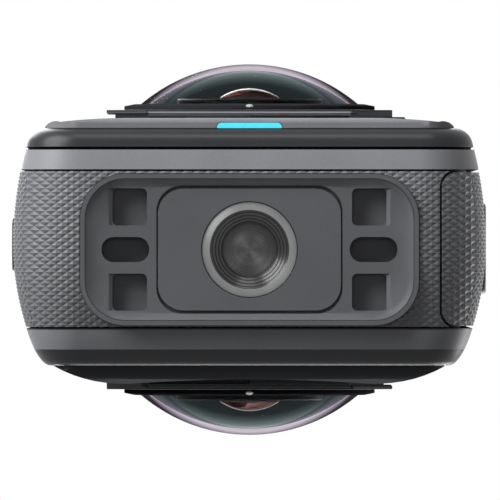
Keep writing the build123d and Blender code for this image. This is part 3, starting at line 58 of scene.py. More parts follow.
def linear(red: float, green: float, blue: float) -> Colour:
    """Turn a display colour of 0 to 255 into scene-linear values.

    Args:
        red: Display red.
        green: Display green.
        blue: Display blue.

    Returns:
        The linear red, green and blue.
    """
    def one(value: float) -> float:
        """Convert one channel."""
        share = value / 255
        return share / 12.92 if share <= 0.04045 else ((share + 0.055) / 1.055) ** 2.4

    return one(red), one(green), one(blue)


def shade(colour: Colour, share: float) -> Colour:
    """Return a colour with every channel times a share."""
    return tuple(channel * share for channel in colour)


# ---------------------------------------------------------------- finishes
@dataclass
class ShaderSketch:
    """Adds and links the nodes of one tree."""

    tree: bpy.types.NodeTree

    @classmethod
    def over(cls, owner: bpy.types.Material | bpy.types.World) -> "ShaderSketch":
        """Start on the emptied tree of a material or a world.

        Args:
            owner: What has the tree.

        Returns:
            The sketch.
        """
        owner.use_nodes = True
        owner.node_tree.nodes.clear()
        return cls(owner.node_tree)

    def node(self, kind: str, inputs: dict | None = None, **settings: object) -> bpy.types.Node:
        """Add a node.

        Args:
            kind: The node's type name.
            inputs: Values or sockets by input name or index.
            **settings: The node's own properties.

        Returns:
            The new node.
        """
        made = self.tree.nodes.new(kind)
        for name, value in settings.items():
            setattr(made, name, value)
        for name, value in (inputs or {}).items():
            self.feed(made.inputs[name], value)
        return made

    def feed(self, socket: Socket, value: object) -> None:
        """Link a socket to a socket, or set its value.

        Args:
            socket: The input.
            value: An output socket or a plain value.
        """
        if isinstance(value, Socket):
            self.tree.links.new(value, socket)
        else:
            socket.default_value = value

    def math(self, operation: str, first: object, second: object = 0.0) -> Socket:
        """Add a Math node and return its output."""
        return self.node("ShaderNodeMath", {0: first, 1: second}, operation=operation).outputs[0]

    def product(self, *factors: object) -> Socket:
        """Multiply factors from the first to the last.

        Args:
            *factors: Sockets or numbers.

        Returns:
            Their product.
        """
        whole = factors[0]
        for factor in factors[1:]:
            whole = self.math("MULTIPLY", whole, factor)
        return whole

    def place(self) -> Socket:
        """Return the object coordinates."""
        return self.node("ShaderNodeTexCoord").outputs["Object"]

    def axes(self) -> tuple[Socket, Socket, Socket]:
        """Return the object coordinates one by one."""
        return tuple(self.node("ShaderNodeSeparateXYZ", {0: self.place()}).outputs)

    def noise(self, size: float, detail: float = 2.0, vector: Socket | None = None,
              stretch: tuple[float, float, float] = (1.0, 1.0, 1.0)) -> Socket:
        """Add a noise pattern.

        Args:
            size: The size of its spots, in metres.
            detail: Its octaves.
            vector: Where it is read, or None for the object coordinates.
            stretch: How the coordinates are scaled first.

        Returns:
            The noise's value.
        """
        where = self.place() if vector is None else vector
        mapped = self.node("ShaderNodeMapping", {"Vector": where, "Scale": stretch}).outputs[0]
        inputs = {"Vector": mapped, "Scale": 1 / size, "Detail": detail}
        return self.node("ShaderNodeTexNoise", inputs).outputs["Fac"]

    def span(self, value: object, low: float, high: float, to_low: float, to_high: float) -> Socket:
        """Map a value from one range to another."""
        return self.node("ShaderNodeMapRange", {"Value": value, "From Min": low, "From Max": high,
                                                "To Min": to_low, "To Max": to_high}).outputs["Result"]

    def spread(self, noise: Socket, low: float, high: float) -> Socket:
        """Stretch a noise's usual range over two values."""
        return self.span(noise, *NOISE_RANGE, low, high)

    def blend(self, factor: Socket, first: object, second: object) -> Socket:
        """Mix two colours.

        Args:
            factor: The share of the second one.
            first: A colour or a socket.
            second: A colour or a socket.

        Returns:
            The mixed colour.
        """
        made = self.node("ShaderNodeMix", {"Factor": factor}, data_type="RGBA")
        for index, colour in ((6, first), (7, second)):
            self.feed(made.inputs[index], colour if isinstance(colour, Socket) else (*colour, 1.0))
        return made.outputs[2]

    def bump(self, height: Socket, distance: float, strength: float = 1.0) -> Socket:
        """Add a bump and return its normal."""
        inputs = {"Height": height, "Distance": distance, "Strength": strength}
        return self.node("ShaderNodeBump", inputs).outputs["Normal"]


@dataclass(frozen=True)
class Recipe:
    """One finish: a node material made of one shader and its inputs."""

    name: str

    def build(self) -> bpy.types.Material:
        """Make the material.

        Returns:
            The node material.
        """
        made = bpy.data.materials.new(FINISH_MARK + self.name)
        sketch = ShaderSketch.over(made)
        shader = sketch.node("ShaderNodeBsdfPrincipled", self.inputs(sketch))
        sketch.node("ShaderNodeOutputMaterial", {"Surface": shader.outputs[0]})
        return made

    def inputs(self, sketch: ShaderSketch) -> dict[str, object]:
        """Return the shader's inputs by name."""
        raise NotImplementedError


@dataclass(frozen=True)
class PaintedLightStrip:
    """A strip of painted light between two depths on both sides, within a half width: darker for painted
    shade in a seam, paler for a painted highlight.
    """

    colour: Colour
    low: float
    high: float
    half: float = 40 * MM
    soft: float = 0.08 * MM
    soft_end: float = 0.1 * MM
    share_past_end: float = 0.15

    def share(self, sketch: ShaderSketch) -> Socket:
        """Find where the strip lies.

        Args:
            sketch: The material's nodes.

        Returns:
            1 on the strip and 0 off it.
        """
        across, deep, _ = sketch.axes()
        depth = sketch.math("ABSOLUTE", deep)
        above = sketch.span(depth, self.low, self.low + self.soft, 0.0, 1.0)
        below = sketch.span(depth, self.high - self.soft, self.high, 1.0, 0.0)
        beside = sketch.span(sketch.math("ABSOLUTE", across), self.half - self.soft_end, self.half,
                             1.0, self.share_past_end)
        return sketch.product(above, below, beside)


@dataclass(frozen=True)
class MouldedPlastic(Recipe):
    """Moulded plastic or rubber with a fine spark-eroded grain."""

    colour: Colour
    roughness: float = 0.45
    spread: float = 0.08
    mottle: float = 0.12
    cloud_size: float = 9 * MM
    cloud_share: float = 0.6
    grain_size: float = 0.16 * MM
    grain_depth: float = 0.004 * MM
    specular: float = 0.1
    coat: float = 0.2
    coat_roughness: float = 0.35
    # a strip of painted light, if any: painted shade in a seam, a painted highlight on a ledge
    strip: PaintedLightStrip | None = None

    def inputs(self, sketch: ShaderSketch) -> dict[str, object]:
        """Mottle the colour and grain the surface.

        Args:
            sketch: The material's nodes.

        Returns:
            The shader's inputs.
        """
        cloud = sketch.noise(self.cloud_size, 3.0)
        grain = sketch.noise(self.grain_size)
        tone = sketch.math("ADD", sketch.product(cloud, self.cloud_share),
                           sketch.product(grain, 1 - self.cloud_share))
        colour = sketch.blend(sketch.spread(tone, 0.0, 1.0), shade(self.colour, 1 - self.mottle),
                              shade(self.colour, 1 + self.mottle))
        # painted light: the strip's colour is painted over the base colour
        if self.strip is not None:
            colour = sketch.blend(self.strip.share(sketch), colour, self.strip.colour)
        return {"Base Color": colour,
                "Roughness": sketch.spread(tone, self.roughness - self.spread, self.roughness + self.spread),
                "Normal": sketch.bump(grain, self.grain_depth), "Specular IOR Level": self.specular,
                "Coat Weight": self.coat, "Coat Roughness": self.coat_roughness}


@dataclass(frozen=True)
class TurnedMetal(Recipe):
    """Metal turned on a lathe about the upright axis, with fine rings and a silky glint."""

    colour: Colour
    roughness: float = 0.3
    anisotropic: float = 0.85
    turn: float = 0.25
    spread: float = 0.06
    stain_size: float = 1.6 * MM
    stain_share: float = 0.78
    ring_size: float = 0.05 * MM
    ring_depth: float = 0.002 * MM

    def inputs(self, sketch: ShaderSketch) -> dict[str, object]:
        """Lay rings round the axis and stains over them.

        Args:
            sketch: The material's nodes.

        Returns:
            The shader's inputs.
        """
        across, deep, height = sketch.axes()
        square = sketch.math("ADD", sketch.product(across, across), sketch.product(deep, deep))
        along = sketch.node("ShaderNodeCombineXYZ", {0: sketch.math("SQRT", square), 1: 0.0, 2: height})
        rings = sketch.noise(self.ring_size, 1.0, along.outputs[0])
        stain = sketch.noise(self.stain_size, 3.0)
        tangent = sketch.node("ShaderNodeTangent", direction_type="RADIAL", axis="Z")
        return {"Base Color": sketch.blend(stain, shade(self.colour, self.stain_share), self.colour),
                "Roughness": sketch.spread(rings, self.roughness - self.spread, self.roughness + self.spread),
                "Metallic": 1.0, "Anisotropic": self.anisotropic, "Anisotropic Rotation": self.turn,
                "Tangent": tangent.outputs[0], "Normal": sketch.bump(rings, self.ring_depth)}


@dataclass(frozen=True)
class PlainMetal(Recipe):
    """Stamped, die-cast or plated metal with faint streaks."""

    colour: Colour
    roughness: float = 0.35
    smoother: float = 0.08
    rougher: float = 0.1
    stain_size: float = 4 * MM
    stain_share: float = 0.7
    streak_size: float = 0.5 * MM
    streak: tuple[float, float, float] = (1.0, 1.0, 8.0)
    depth: float = 0.003 * MM

    def inputs(self, sketch: ShaderSketch) -> dict[str, object]:
        """Streak and stain the metal.

        Args:
            sketch: The material's nodes.

        Returns:
            The shader's inputs.
        """
        streaks = sketch.noise(self.streak_size, 3.0, stretch=self.streak)
        stain = sketch.noise(self.stain_size, 3.0)
        return {"Base Color": sketch.blend(stain, shade(self.colour, self.stain_share), self.colour),
                "Roughness": sketch.spread(streaks, self.roughness - self.smoother,
                                           self.roughness + self.rougher),
                "Metallic": 1.0, "Normal": sketch.bump(streaks, self.depth)}


@dataclass(frozen=True)
class CoatedGlass(Recipe):
    """Coated optical glass: clear towards the viewer, with painted shade where its far wall is seen through
    it.

    The stops paint the brightness seen through the far wall by how much the wall
    turns away, from 0 where it faces the viewer to 1 at its outline: the dark stops are painted
    shade and the pale lilac ones painted reflection of the coating. The lean is painted shade:
    it moves a place towards the outline's stop the farther it lies from the middle.
    """

    colour: Colour = (0.97, 0.985, 0.98)
    far_stops: tuple[tuple[float, Colour], ...] = ()
    leaving: bool = True
    index: float = 1.001
    side_shade_lean: float = 0.0
    half_width: float = 12 * MM
    smear_size: float = 3 * MM
    smear_range: Flat = (0.45, 0.8)
    smear_share: float = 0.98
    roughest: float = 0.004

    def inputs(self, sketch: ShaderSketch) -> dict[str, object]:
        """Tint the near wall faintly and the far one as its stops say.

        Args:
            sketch: The material's nodes.

        Returns:
            The shader's inputs.
        """
        smear = sketch.noise(self.smear_size, 4.0)
        near = sketch.blend(smear, shade(self.colour, self.smear_share), self.colour)
        return {"Base Color": sketch.blend(self.far_wall(sketch), near, self.behind(sketch)),
                "Roughness": sketch.span(smear, *self.smear_range, 0.0, self.roughest),
                "Transmission Weight": 1.0, "IOR": self.index}

    def behind(self, sketch: ShaderSketch) -> Socket:
        """Find the painted tint, painted shade and painted reflection, seen through the far wall, squared as
        the shader takes its root.

        Args:
            sketch: The material's nodes.

        Returns:
            The tint.
        """
        facing = sketch.node("ShaderNodeLayerWeight", {"Blend": 0.5}).outputs["Facing"]
        # painted shade: the farther a place lies from the middle, the nearer it comes to the outline's stop
        share = sketch.math("DIVIDE", sketch.axes()[0], self.half_width)
        lean = sketch.product(share, share, self.side_shade_lean)
        ramp = sketch.node("ShaderNodeValToRGB", {0: sketch.math("ADD", facing, lean)})
        stops = ramp.color_ramp.elements
        while len(stops) < len(self.far_stops):
            stops.new(0.5)
        for stop, (place, colour) in zip(stops, self.far_stops):
            stop.position = place
            stop.color = (*colour, 1.0)
        tint = ramp.outputs[0]
        return sketch.node("ShaderNodeVectorMath", {0: tint, 1: tint}, operation="MULTIPLY").outputs[0]

    def far_wall(self, sketch: ShaderSketch) -> Socket:
        """Find where a ray that came in through the near wall meets the far one.

        Args:
            sketch: The material's nodes.

        Returns:
            1 there and 0 elsewhere.
        """
        back = sketch.node("ShaderNodeNewGeometry").outputs["Backfacing"]
        side = back if self.leaving else sketch.math("SUBTRACT", 1.0, back)
        return sketch.product(side, sketch.node("ShaderNodeLightPath").outputs["Is Transmission Ray"])


@dataclass(frozen=True)
class InnerElement(Recipe):
    """The small front element: a brown mirror coating that flashes pale at the very rim."""

    inside: Colour = linear(64, 54, 54)
    rim: Colour = (0.4, 0.385, 0.383)
    smear_size: float = 1.5 * MM
    smear_range: Flat = (0.4, 0.8)
    smear_share: float = 0.6
    gloss: Flat = (0.03, 0.1)

    def inputs(self, sketch: ShaderSketch) -> dict[str, object]:
        """Smear the coating.

        Args:
            sketch: The material's nodes.

        Returns:
            The shader's inputs.
        """
        smear = sketch.noise(self.smear_size, 3.0)
        return {"Base Color": sketch.blend(smear, shade(self.inside, self.smear_share), self.inside),
                "Roughness": sketch.span(smear, *self.smear_range, *self.gloss),
                "Metallic": 1.0, "Specular Tint": (*self.rim, 1.0)}


@dataclass(frozen=True)
class LitWindow(Recipe):
    """A translucent window lit from behind."""

    colour: Colour
    strength: float = 0.8
    cloud_size: float = 0.7 * MM
    pale_share: float = 1.12
    pale_lift: float = 0.02
    gloss: Flat = (0.25, 0.4)
    depth: float = 0.002 * MM

    def inputs(self, sketch: ShaderSketch) -> dict[str, object]:
        """Cloud the glow.

        Args:
            sketch: The material's nodes.

        Returns:
            The shader's inputs.
        """
        cloud = sketch.noise(self.cloud_size)
        pale = tuple(min(1.0, channel * self.pale_share + self.pale_lift) for channel in self.colour)
        glow = sketch.blend(cloud, self.colour, pale)
        return {"Base Color": glow, "Emission Color": glow, "Emission Strength": self.strength,
                "Roughness": sketch.spread(cloud, *self.gloss), "Normal": sketch.bump(cloud, self.depth)}


@dataclass(frozen=True)
class BoardResin(Recipe):
    """Printed board: resist over traces, with bare pads."""

    colour: Colour
    trace: Colour
    trace_pitch: float = 2.4 * MM
    trace_width: float = 0.04
    trace_offset: float = 0.35
    weave_size: float = 0.3 * MM
    weave_share: float = 0.3
    gloss: Flat = (0.3, 0.5)
    depth: float = 0.02 * MM

    def inputs(self, sketch: ShaderSketch) -> dict[str, object]:
        """Lay the traces over the weave.

        Args:
            sketch: The material's nodes.

        Returns:
            The shader's inputs.
        """
        bricks = sketch.node("ShaderNodeTexBrick", {
            "Vector": sketch.place(), "Scale": 1 / self.trace_pitch, "Mortar Size": self.trace_width},
            offset=self.trace_offset)
        lines = bricks.outputs["Fac"]
        weave = sketch.noise(self.weave_size)
        height = sketch.math("ADD", lines, sketch.product(weave, self.weave_share))
        return {"Base Color": sketch.blend(lines, self.colour, self.trace),
                "Roughness": sketch.spread(weave, *self.gloss), "Normal": sketch.bump(height, self.depth)}


@dataclass(frozen=True)
class ScreenGlass(Recipe):
    """Black glass over a display that is off."""

    frame_colour: Colour = (0.006, 0.006, 0.007)
    panel_colour: Colour = (0.011, 0.012, 0.014)
    half_width: float = 15.4 * MM
    low: float = 28.9 * MM
    high: float = 81.9 * MM
    smear_size: float = 14 * MM
    smear_range: Flat = (0.4, 0.75)
    gloss: Flat = (0.1, 0.2)
    depth: float = 0.001 * MM
    depth_share: float = 0.1
    specular: float = 0.12
    coat: float = 0.12
    coat_roughness: float = 0.03

    def inputs(self, sketch: ShaderSketch) -> dict[str, object]:
        """Tell the display from its frame and smear both.

        Args:
            sketch: The material's nodes.

        Returns:
            The shader's inputs.
        """
        across, _, height = sketch.axes()
        inside = sketch.product(sketch.math("LESS_THAN", sketch.math("ABSOLUTE", across), self.half_width),
                                sketch.math("GREATER_THAN", height, self.low),
                                sketch.math("LESS_THAN", height, self.high))
        smear = sketch.noise(self.smear_size, 5.0)
        return {"Base Color": sketch.blend(inside, self.frame_colour, self.panel_colour),
                "Roughness": sketch.span(smear, *self.smear_range, *self.gloss),
                "Specular IOR Level": self.specular, "Coat Weight": self.coat,
                "Coat Roughness": self.coat_roughness,
                "Normal": sketch.bump(smear, self.depth, self.depth_share)}


class Finish(Enum):
    """Every finish of the camera."""

    # The rear panel is a darker copy of the front panel's plastic: its darker grey is painted shade on the
    # rear side.
    PANEL = MouldedPlastic("panel_grey", linear(130, 131, 135), 0.5, specular=0.0, coat=0.06)
    REAR_PANEL = MouldedPlastic("rear_panel_grey", linear(72, 73, 77), 0.5, specular=0.0, coat=0.06)
    # GRAPHITE's strip is painted shade: a near-black strip along the front frame's edge next to the front
    # panel
    GRAPHITE = MouldedPlastic("graphite", linear(38, 39, 42), 0.4, specular=0.03, coat=0.4,
                              coat_roughness=0.32, strip=PaintedLightStrip(linear(6, 6, 7), 11.46 * MM, 11.9 * MM))
    # BAND's strip is painted shade: the mid frame is near black wherever it lies under the grip sleeve, so
    # the gaps beside the sleeve look dark
    BAND = MouldedPlastic("band_grey", linear(130, 131, 135), 0.4, specular=0.15, coat=0.15,
                          strip=PaintedLightStrip(linear(6, 6, 7), 0.0, 7.71 * MM))
    MOUNT = MouldedPlastic("mount_graphite", linear(94, 95, 98), 0.5, specular=0.1, coat=0.12)
    GRIP = MouldedPlastic("grip_rubber", linear(101, 102, 105), 0.45, mottle=0.08, grain_size=0.09 * MM,
                          grain_depth=0.003 * MM, specular=0.2)
    SEAL = MouldedPlastic("black_rubber", linear(10, 10, 11), 0.7, specular=0.05, coat=0.0)
    BLACK = MouldedPlastic("black_plastic", linear(44, 45, 48), 0.45)
    # LENS_BASE's pale strip is a painted highlight on the lens bases' ledge, 13.26 to 13.74 mm out from the
    # middle
    LENS_BASE = MouldedPlastic("lens_base_black", linear(40, 41, 44), 0.45,
                               strip=PaintedLightStrip(linear(150, 151, 155), 13.26 * MM, 13.74 * MM, 10.1 * MM))
    DEEP_BLACK = MouldedPlastic("lens_black", linear(12, 12, 13), 0.6, specular=0.05, coat=0.1)
    GLOSS_BLACK = MouldedPlastic("gloss_black", linear(46, 47, 51), 0.45, 0.04, specular=0.0, coat=0.0)
    KEY = MouldedPlastic("key_black", linear(44, 45, 48), 0.5, specular=0.0, coat=0.02)
    CELL = MouldedPlastic("cell_sleeve", linear(40, 41, 46), 0.5, specular=0.06, coat=0.02)
    # The bush's steels are copies of one steel: the hole's and the blind end's darker colours are painted
    # shade inside the hole.
    RING_STEEL = TurnedMetal("bush_ring_steel", linear(126, 127, 127), 0.42, 0.8, ring_depth=0.004 * MM)
    STEEL = TurnedMetal("bush_steel", linear(78, 78, 78), 0.38, 0.85, ring_depth=0.003 * MM)
    DISC_STEEL = TurnedMetal("bush_disc_steel", linear(84, 84, 84), 0.3, 0.97, ring_depth=0.002 * MM)
    CAST = PlainMetal("cast_aluminium", linear(170, 171, 174), 0.45)
    SPRING = PlainMetal("plated_steel", linear(185, 185, 184), 0.3)
    CONTACT = PlainMetal("contact_gold", linear(214, 178, 96), 0.25)
    # DOME's stops: clear where the far wall faces the viewer, then painted reflection in pale lilac and
    # painted shade to near black at the outline
    DOME = CoatedGlass("dome_glass", side_shade_lean=0.3, far_stops=(
        (0.0, (1.0, 1.0, 1.0)), (0.715, (1.0, 1.0, 1.0)), (0.725, (0.5, 0.45, 0.52)),
        (0.8, (0.6, 0.54, 0.62)), (0.9, (0.3, 0.25, 0.31)), (1.0, (0.03, 0.024, 0.03))))
    # CLEAR's stops: painted shade from near black to green-grey, then painted reflection in pale lilac near
    # the outline
    CLEAR = CoatedGlass("dome_glass_inside", leaving=False, far_stops=(
        (0.3, (0.012, 0.012, 0.014)), (0.6, (0.02, 0.026, 0.028)), (0.68, (0.055, 0.076, 0.076)),
        (0.8, (0.16, 0.2, 0.2)), (0.864, (0.3, 0.33, 0.35)), (0.95, (0.5, 0.46, 0.52))))
    ELEMENT = InnerElement("inner_glass")
    SCREEN = ScreenGlass("screen_glass")
    LIGHT = LitWindow("light_window", linear(56, 200, 222), 0.5)
    BOARD = BoardResin("board_resin", linear(24, 60, 44), linear(40, 96, 66))

    def material(self) -> bpy.types.Material:
        """Return the material, built once."""
        made = bpy.data.materials.get(FINISH_MARK + self.value.name)
        return made if made is not None else self.value.build()


# ---------------------------------------------------------------- mesh helpers
def add_object(name: str, data: bpy.types.ID) -> bpy.types.Object:
    """Make an object and put it in the scene.

    Args:
        name: Its name.
        data: Its mesh, lamp or camera.

    Returns:
        The object.
    """
    made = bpy.data.objects.new(name, data)
    bpy.context.scene.collection.objects.link(made)
    return made


def piece_from(bm: bmesh.types.BMesh, name: str, finishes: Sequence[Finish], body: str,
               smooth_angle: float | None = 35.0) -> bpy.types.Object:
    """Turn a bmesh into a finished piece on a body.

    Args:
        bm: The shape, in metres, in the shared frame.
        name: The piece's name.
        finishes: Its materials by index.
        body: The body that it rides on.
        smooth_angle: Edges sharper than this stay sharp; None keeps every face flat.

    Returns:
        The new object.
    """
    mesh = bpy.data.meshes.new(name)
    if smooth_angle is not None:
        limit = math.radians(smooth_angle)
        for face in bm.faces:
            face.smooth = True
        for edge in bm.edges:
            edge.smooth = len(edge.link_faces) == 2 and edge.calc_face_angle(0.0) < limit
    bm.to_mesh(mesh)
    bm.free()
    for finish in finishes:
        mesh.materials.append(finish.material())
    made = add_object(name, mesh)
    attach(made, body)
    LOG.info("piece %s on %s: %d faces", name, body, len(mesh.polygons))
    return made


def shape_from(mesh: bpy.types.Mesh, bm: bmesh.types.BMesh | None = None) -> bmesh.types.BMesh:
    """Turn a mesh into a bmesh, or add it to one, and drop the mesh.

    Args:
        mesh: The mesh.
        bm: What it is added to, if anything.

    Returns:
        The bmesh.
    """
    made = bm or bmesh.new()
    made.from_mesh(mesh)
    bpy.data.meshes.remove(mesh)
    return made


def joined(parts: Iterable[bmesh.types.BMesh]) -> bmesh.types.BMesh:
    """Put several shapes into one.

    Args:
        parts: The shapes, which are freed.

    Returns:
        The one shape.
    """
    whole = bmesh.new()
    for part in parts:
        mesh = bpy.data.meshes.new("part")
        part.to_mesh(mesh)
        part.free()
        shape_from(mesh, whole)
    return whole


def lathe(bm: bmesh.types.BMesh, profile: Sequence[ProfilePlace], steps: int, middle: Vector, along: Vector,
          closed: bool = False) -> list[list[bmesh.types.BMVert]]:
    """Turn a profile about an axis into rings of vertices joined by faces.

    Args:
        bm: Where the faces go.
        profile: The places of the profile.
        steps: How many vertices are in a ring.
        middle: A point on the axis.
        along: The axis.
        closed: Whether the last ring is joined to the first.

    Returns:
        The rings of vertices.
    """
    side = along.cross(ACROSS)
    rings = []
    for place in profile:
        ring = []
        for step in range(steps):
            angle = 2 * math.pi * step / steps
            radius, distance = place(angle)
            out = ACROSS * math.cos(angle) + side * math.sin(angle)
            ring.append(bm.verts.new(middle + out * radius + along * distance))
        rings.append(ring)
    pairs = list(zip(rings, rings[1:])) + ([(rings[-1], rings[0])] if closed else [])
    for low, high in pairs:
        for step in range(steps):
            after = (step + 1) % steps
            bm.faces.new((low[step], low[after], high[after], high[step]))
    return rings


def cap(bm: bmesh.types.BMesh, ring: list[bmesh.types.BMVert], middle: Vector, flip: bool) -> None:
    """Close a ring with a fan.

    Args:
        bm: Where the faces go.
        ring: The ring of vertices.
        middle: The fan's middle.
        flip: Whether the faces turn the other way.
    """
    centre = bm.verts.new(middle)
    for step, vert in enumerate(ring):
        after = ring[(step + 1) % len(ring)]
        bm.faces.new((after, vert, centre) if flip else (vert, after, centre))


def constant(radius: float, distance: float) -> ProfilePlace:
    """Return a profile place that is the same all round, from millimetres."""
    return lambda angle: (radius * MM, distance * MM)


def rounded_box_distance(across: float, up: float, centre: Flat, half: Flat, radius: float) -> float:
    """Measure how far a point lies outside a rounded rectangle.

    Args:
        across: The point's first coordinate.
        up: Its second.
        centre: The rectangle's middle.
        half: Its half sizes.
        radius: Its corner radius.

    Returns:
        The distance, negative inside.
    """
    over = abs(across - centre[0]) - half[0] + radius
    rise = abs(up - centre[1]) - half[1] + radius
    outside = math.hypot(max(over, 0.0), max(rise, 0.0))
    return outside + min(max(over, rise), 0.0) - radius


def trim(bm: bmesh.types.BMesh, keep: Distance) -> None:
    """Cut a sheet where a distance changes sign and drop what is negative.

    Args:
        bm: The sheet.
        keep: The distance: positive is kept.
    """
    near = 1e-7
    values = {vert: keep(vert.co) for vert in bm.verts}
    for edge in list(bm.edges):
        first, second = edge.verts
        start, end = values[first], values[second]
        if start * end < 0 and abs(start) > near and abs(end) > near:
            _, fresh = bmesh.utils.edge_split(edge, first, start / (start - end))
            values[fresh] = 0.0
    for face in list(bm.faces):
        cut = [vert for vert in face.verts if abs(values[vert]) <= near]
        if len(cut) == 2 and len(face.verts) > 3 and not any(
                set(edge.verts) == set(cut) for edge in face.edges):
            bmesh.utils.face_split(face, cut[0], cut[1])
    gone = [face for face in bm.faces if sum(values[vert] for vert in face.verts) < 0]
    bmesh.ops.delete(bm, geom=gone, context="FACES")
    loose = [vert for vert in bm.verts if not vert.link_faces]
    bmesh.ops.delete(bm, geom=loose, context="VERTS")


def thicken(bm: bmesh.types.BMesh, inwards: Callable[[Vector], Vector]) -> None:
    """Give an open sheet a back and edges.

    Args:
        bm: The sheet, with its faces outwards.
        inwards: The step from a point on the face to its place on the back.
    """
    backs = {vert: bm.verts.new(vert.co + inwards(vert.co)) for vert in list(bm.verts)}
    rims = [edge for edge in bm.edges if len(edge.link_faces) == 1]
    for face in list(bm.faces):
        bm.faces.new([backs[vert] for vert in reversed(face.verts)])
    for edge in rims:
        loop = edge.link_loops[0]
        start, end = loop.vert, loop.link_loop_next.vert
        bm.faces.new((end, start, backs[start], backs[end]))


# ---------------------------------------------------------------- geometry node trees
@dataclass
class GeometrySketch(ShaderSketch):
    """Builds one geometry node tree with named inputs."""

    entry: bpy.types.Node | None = None

    @classmethod
    def start(cls, name: str, sockets: dict[str, str]) -> "GeometrySketch":
        """Make an empty tree.

        Args:
            name: The tree's name.
            sockets: Input socket types by name, such as Geometry or Float.

        Returns:
            The sketch.
        """
        tree = bpy.data.node_groups.new(name, "GeometryNodeTree")
        for label, kind in sockets.items():
            tree.interface.new_socket(label, in_out="INPUT", socket_type="NodeSocket" + kind)
        tree.interface.new_socket("Geometry", in_out="OUTPUT", socket_type="NodeSocketGeometry")
        sketch = cls(tree)
        sketch.entry = sketch.node("NodeGroupInput")
        return sketch

    def given(self, name: str) -> Socket:
        """Return the output of a named input."""
        return self.entry.outputs[name]

    def end(self, geometry: Socket) -> bpy.types.NodeTree:
        """Realize, paint and hand out the geometry.

        Args:
            geometry: The finished geometry.

        Returns:
            The tree.
        """
        real = self.node("GeometryNodeRealizeInstances", {0: geometry})
        painted = self.node("GeometryNodeSetMaterial", {"Geometry": real.outputs[0],
                                                        "Material": self.given("Material")})
        self.node("NodeGroupOutput", {0: painted.outputs[0]})
        return self.tree


def grow(tree: bpy.types.NodeTree, values: dict[str, object]) -> bmesh.types.BMesh:
    """Run a geometry node tree and take its result as a plain shape.

    Args:
        tree: The tree.
        values: Its inputs by name.

    Returns:
        The new shape.
    """
    holder = add_object(tree.name + "_seed", bpy.data.meshes.new(tree.name + "_seed"))
    modifier = holder.modifiers.new("grow", "NODES")
    modifier.node_group = tree
    identifiers = {item.name: item.identifier for item in tree.interface.items_tree
                   if item.item_type == "SOCKET" and item.in_out == "INPUT"}
    for name, value in values.items():
        modifier[identifiers[name]] = value
    bpy.context.view_layer.update()
    graph = bpy.context.evaluated_depsgraph_get()
    mesh = bpy.data.meshes.new_from_object(holder.evaluated_get(graph), preserve_all_data_layers=True,
                                           depsgraph=graph)
    holder.modifiers.clear()
    seed = holder.data
    bpy.data.objects.remove(holder)
    bpy.data.meshes.remove(seed)
    return shape_from(mesh)


def crowned_diamond_tree(weld: float = 0.02 * MM) -> bpy.types.NodeTree:
    """Build the tree that lays raised diamonds over a crowned side with rounded ends.

    Args:
        weld: How near two diamonds' corners are joined.

    Returns:
        The tree. Its patch faces down, runs along X, and is crowned along Y.
    """
    sketch = GeometrySketch.start("crowned_diamonds", {
        "Columns": "Int", "Rows": "Int", "Pitch Along": "Float", "Pitch Across": "Float", "Relief": "Float",
        "Middle": "Float", "Straight Half": "Float", "Corner Radius": "Float", "Widest": "Float",
        "Front Fall": "Float", "Rear Fall": "Float", "Material": "Material"})
    given, calc, times = sketch.given, sketch.math, sketch.product
    half_along, half_across = times(given("Pitch Along"), 0.5), times(given("Pitch Across"), 0.5)
    grid = sketch.node("GeometryNodeMeshGrid", {
        "Size X": times(half_along, calc("SUBTRACT", given("Columns"), 1.0)),
        "Size Y": times(half_across, calc("SUBTRACT", given("Rows"), 1.0)),
        "Vertices X": given("Columns"), "Vertices Y": given("Rows")})
    index = sketch.node("GeometryNodeInputIndex").outputs[0]
    column = calc("FLOOR", calc("DIVIDE", calc("ADD", index, 0.5), given("Rows")))
    row = calc("SUBTRACT", index, times(column, given("Rows")))
    odd = calc("FLOORED_MODULO", calc("ADD", column, row), 2.0)
    diamond = sketch.node("GeometryNodeMeshCone", {"Vertices": 4, "Radius Top": 0.0, "Radius Bottom": 1.0,
                                                   "Depth": 1.0}, fill_type="NONE")
    scale = sketch.node("ShaderNodeCombineXYZ", {0: half_along, 1: half_across,
                                                 2: given("Relief")}).outputs[0]
    laid = sketch.node("GeometryNodeInstanceOnPoints", {
        "Points": grid.outputs["Mesh"], "Selection": calc("LESS_THAN", odd, 0.5),
        "Instance": diamond.outputs["Mesh"], "Scale": scale})
    real = sketch.node("GeometryNodeRealizeInstances", {0: laid.outputs[0]})
    merged = sketch.node("GeometryNodeMergeByDistance", {"Geometry": real.outputs[0], "Distance": weld})
    flat = sketch.node("ShaderNodeSeparateXYZ", {0: sketch.node("GeometryNodeInputPosition").outputs[0]})
    along, across = flat.outputs[0], calc("ADD", flat.outputs[1], given("Middle"))
    height = calc("SUBTRACT", flat.outputs[2], given("Relief"))
    step = calc("SUBTRACT", across, given("Widest"))
    fall = sketch.node("GeometryNodeSwitch", {"Switch": calc("LESS_THAN", step, 0.0),
                                              "False": given("Rear Fall"), "True": given("Front Fall")},
                       input_type="FLOAT").outputs[0]
    local = calc("SUBTRACT", given("Corner Radius"), times(fall, times(step, step)))
    over = calc("MAXIMUM", calc("SUBTRACT", calc("ABSOLUTE", along), given("Straight Half")), 0.0)
    left = calc("SUBTRACT", times(local, local), times(over, over))
    rise = calc("SQRT", calc("MAXIMUM", left, 0.0))
    lean = times(calc("SIGN", along), calc("DIVIDE", over, local))
    drop = calc("DIVIDE", rise, local)
    place = sketch.node("ShaderNodeCombineXYZ", {
        0: calc("ADD", along, times(lean, height)), 1: across,
        2: calc("SUBTRACT", calc("SUBTRACT", given("Corner Radius"), rise), times(drop, height))})
    moved = sketch.node("GeometryNodeSetPosition", {"Geometry": merged.outputs[0],
                                                    "Position": place.outputs[0]})
    return sketch.end(moved.outputs[0])


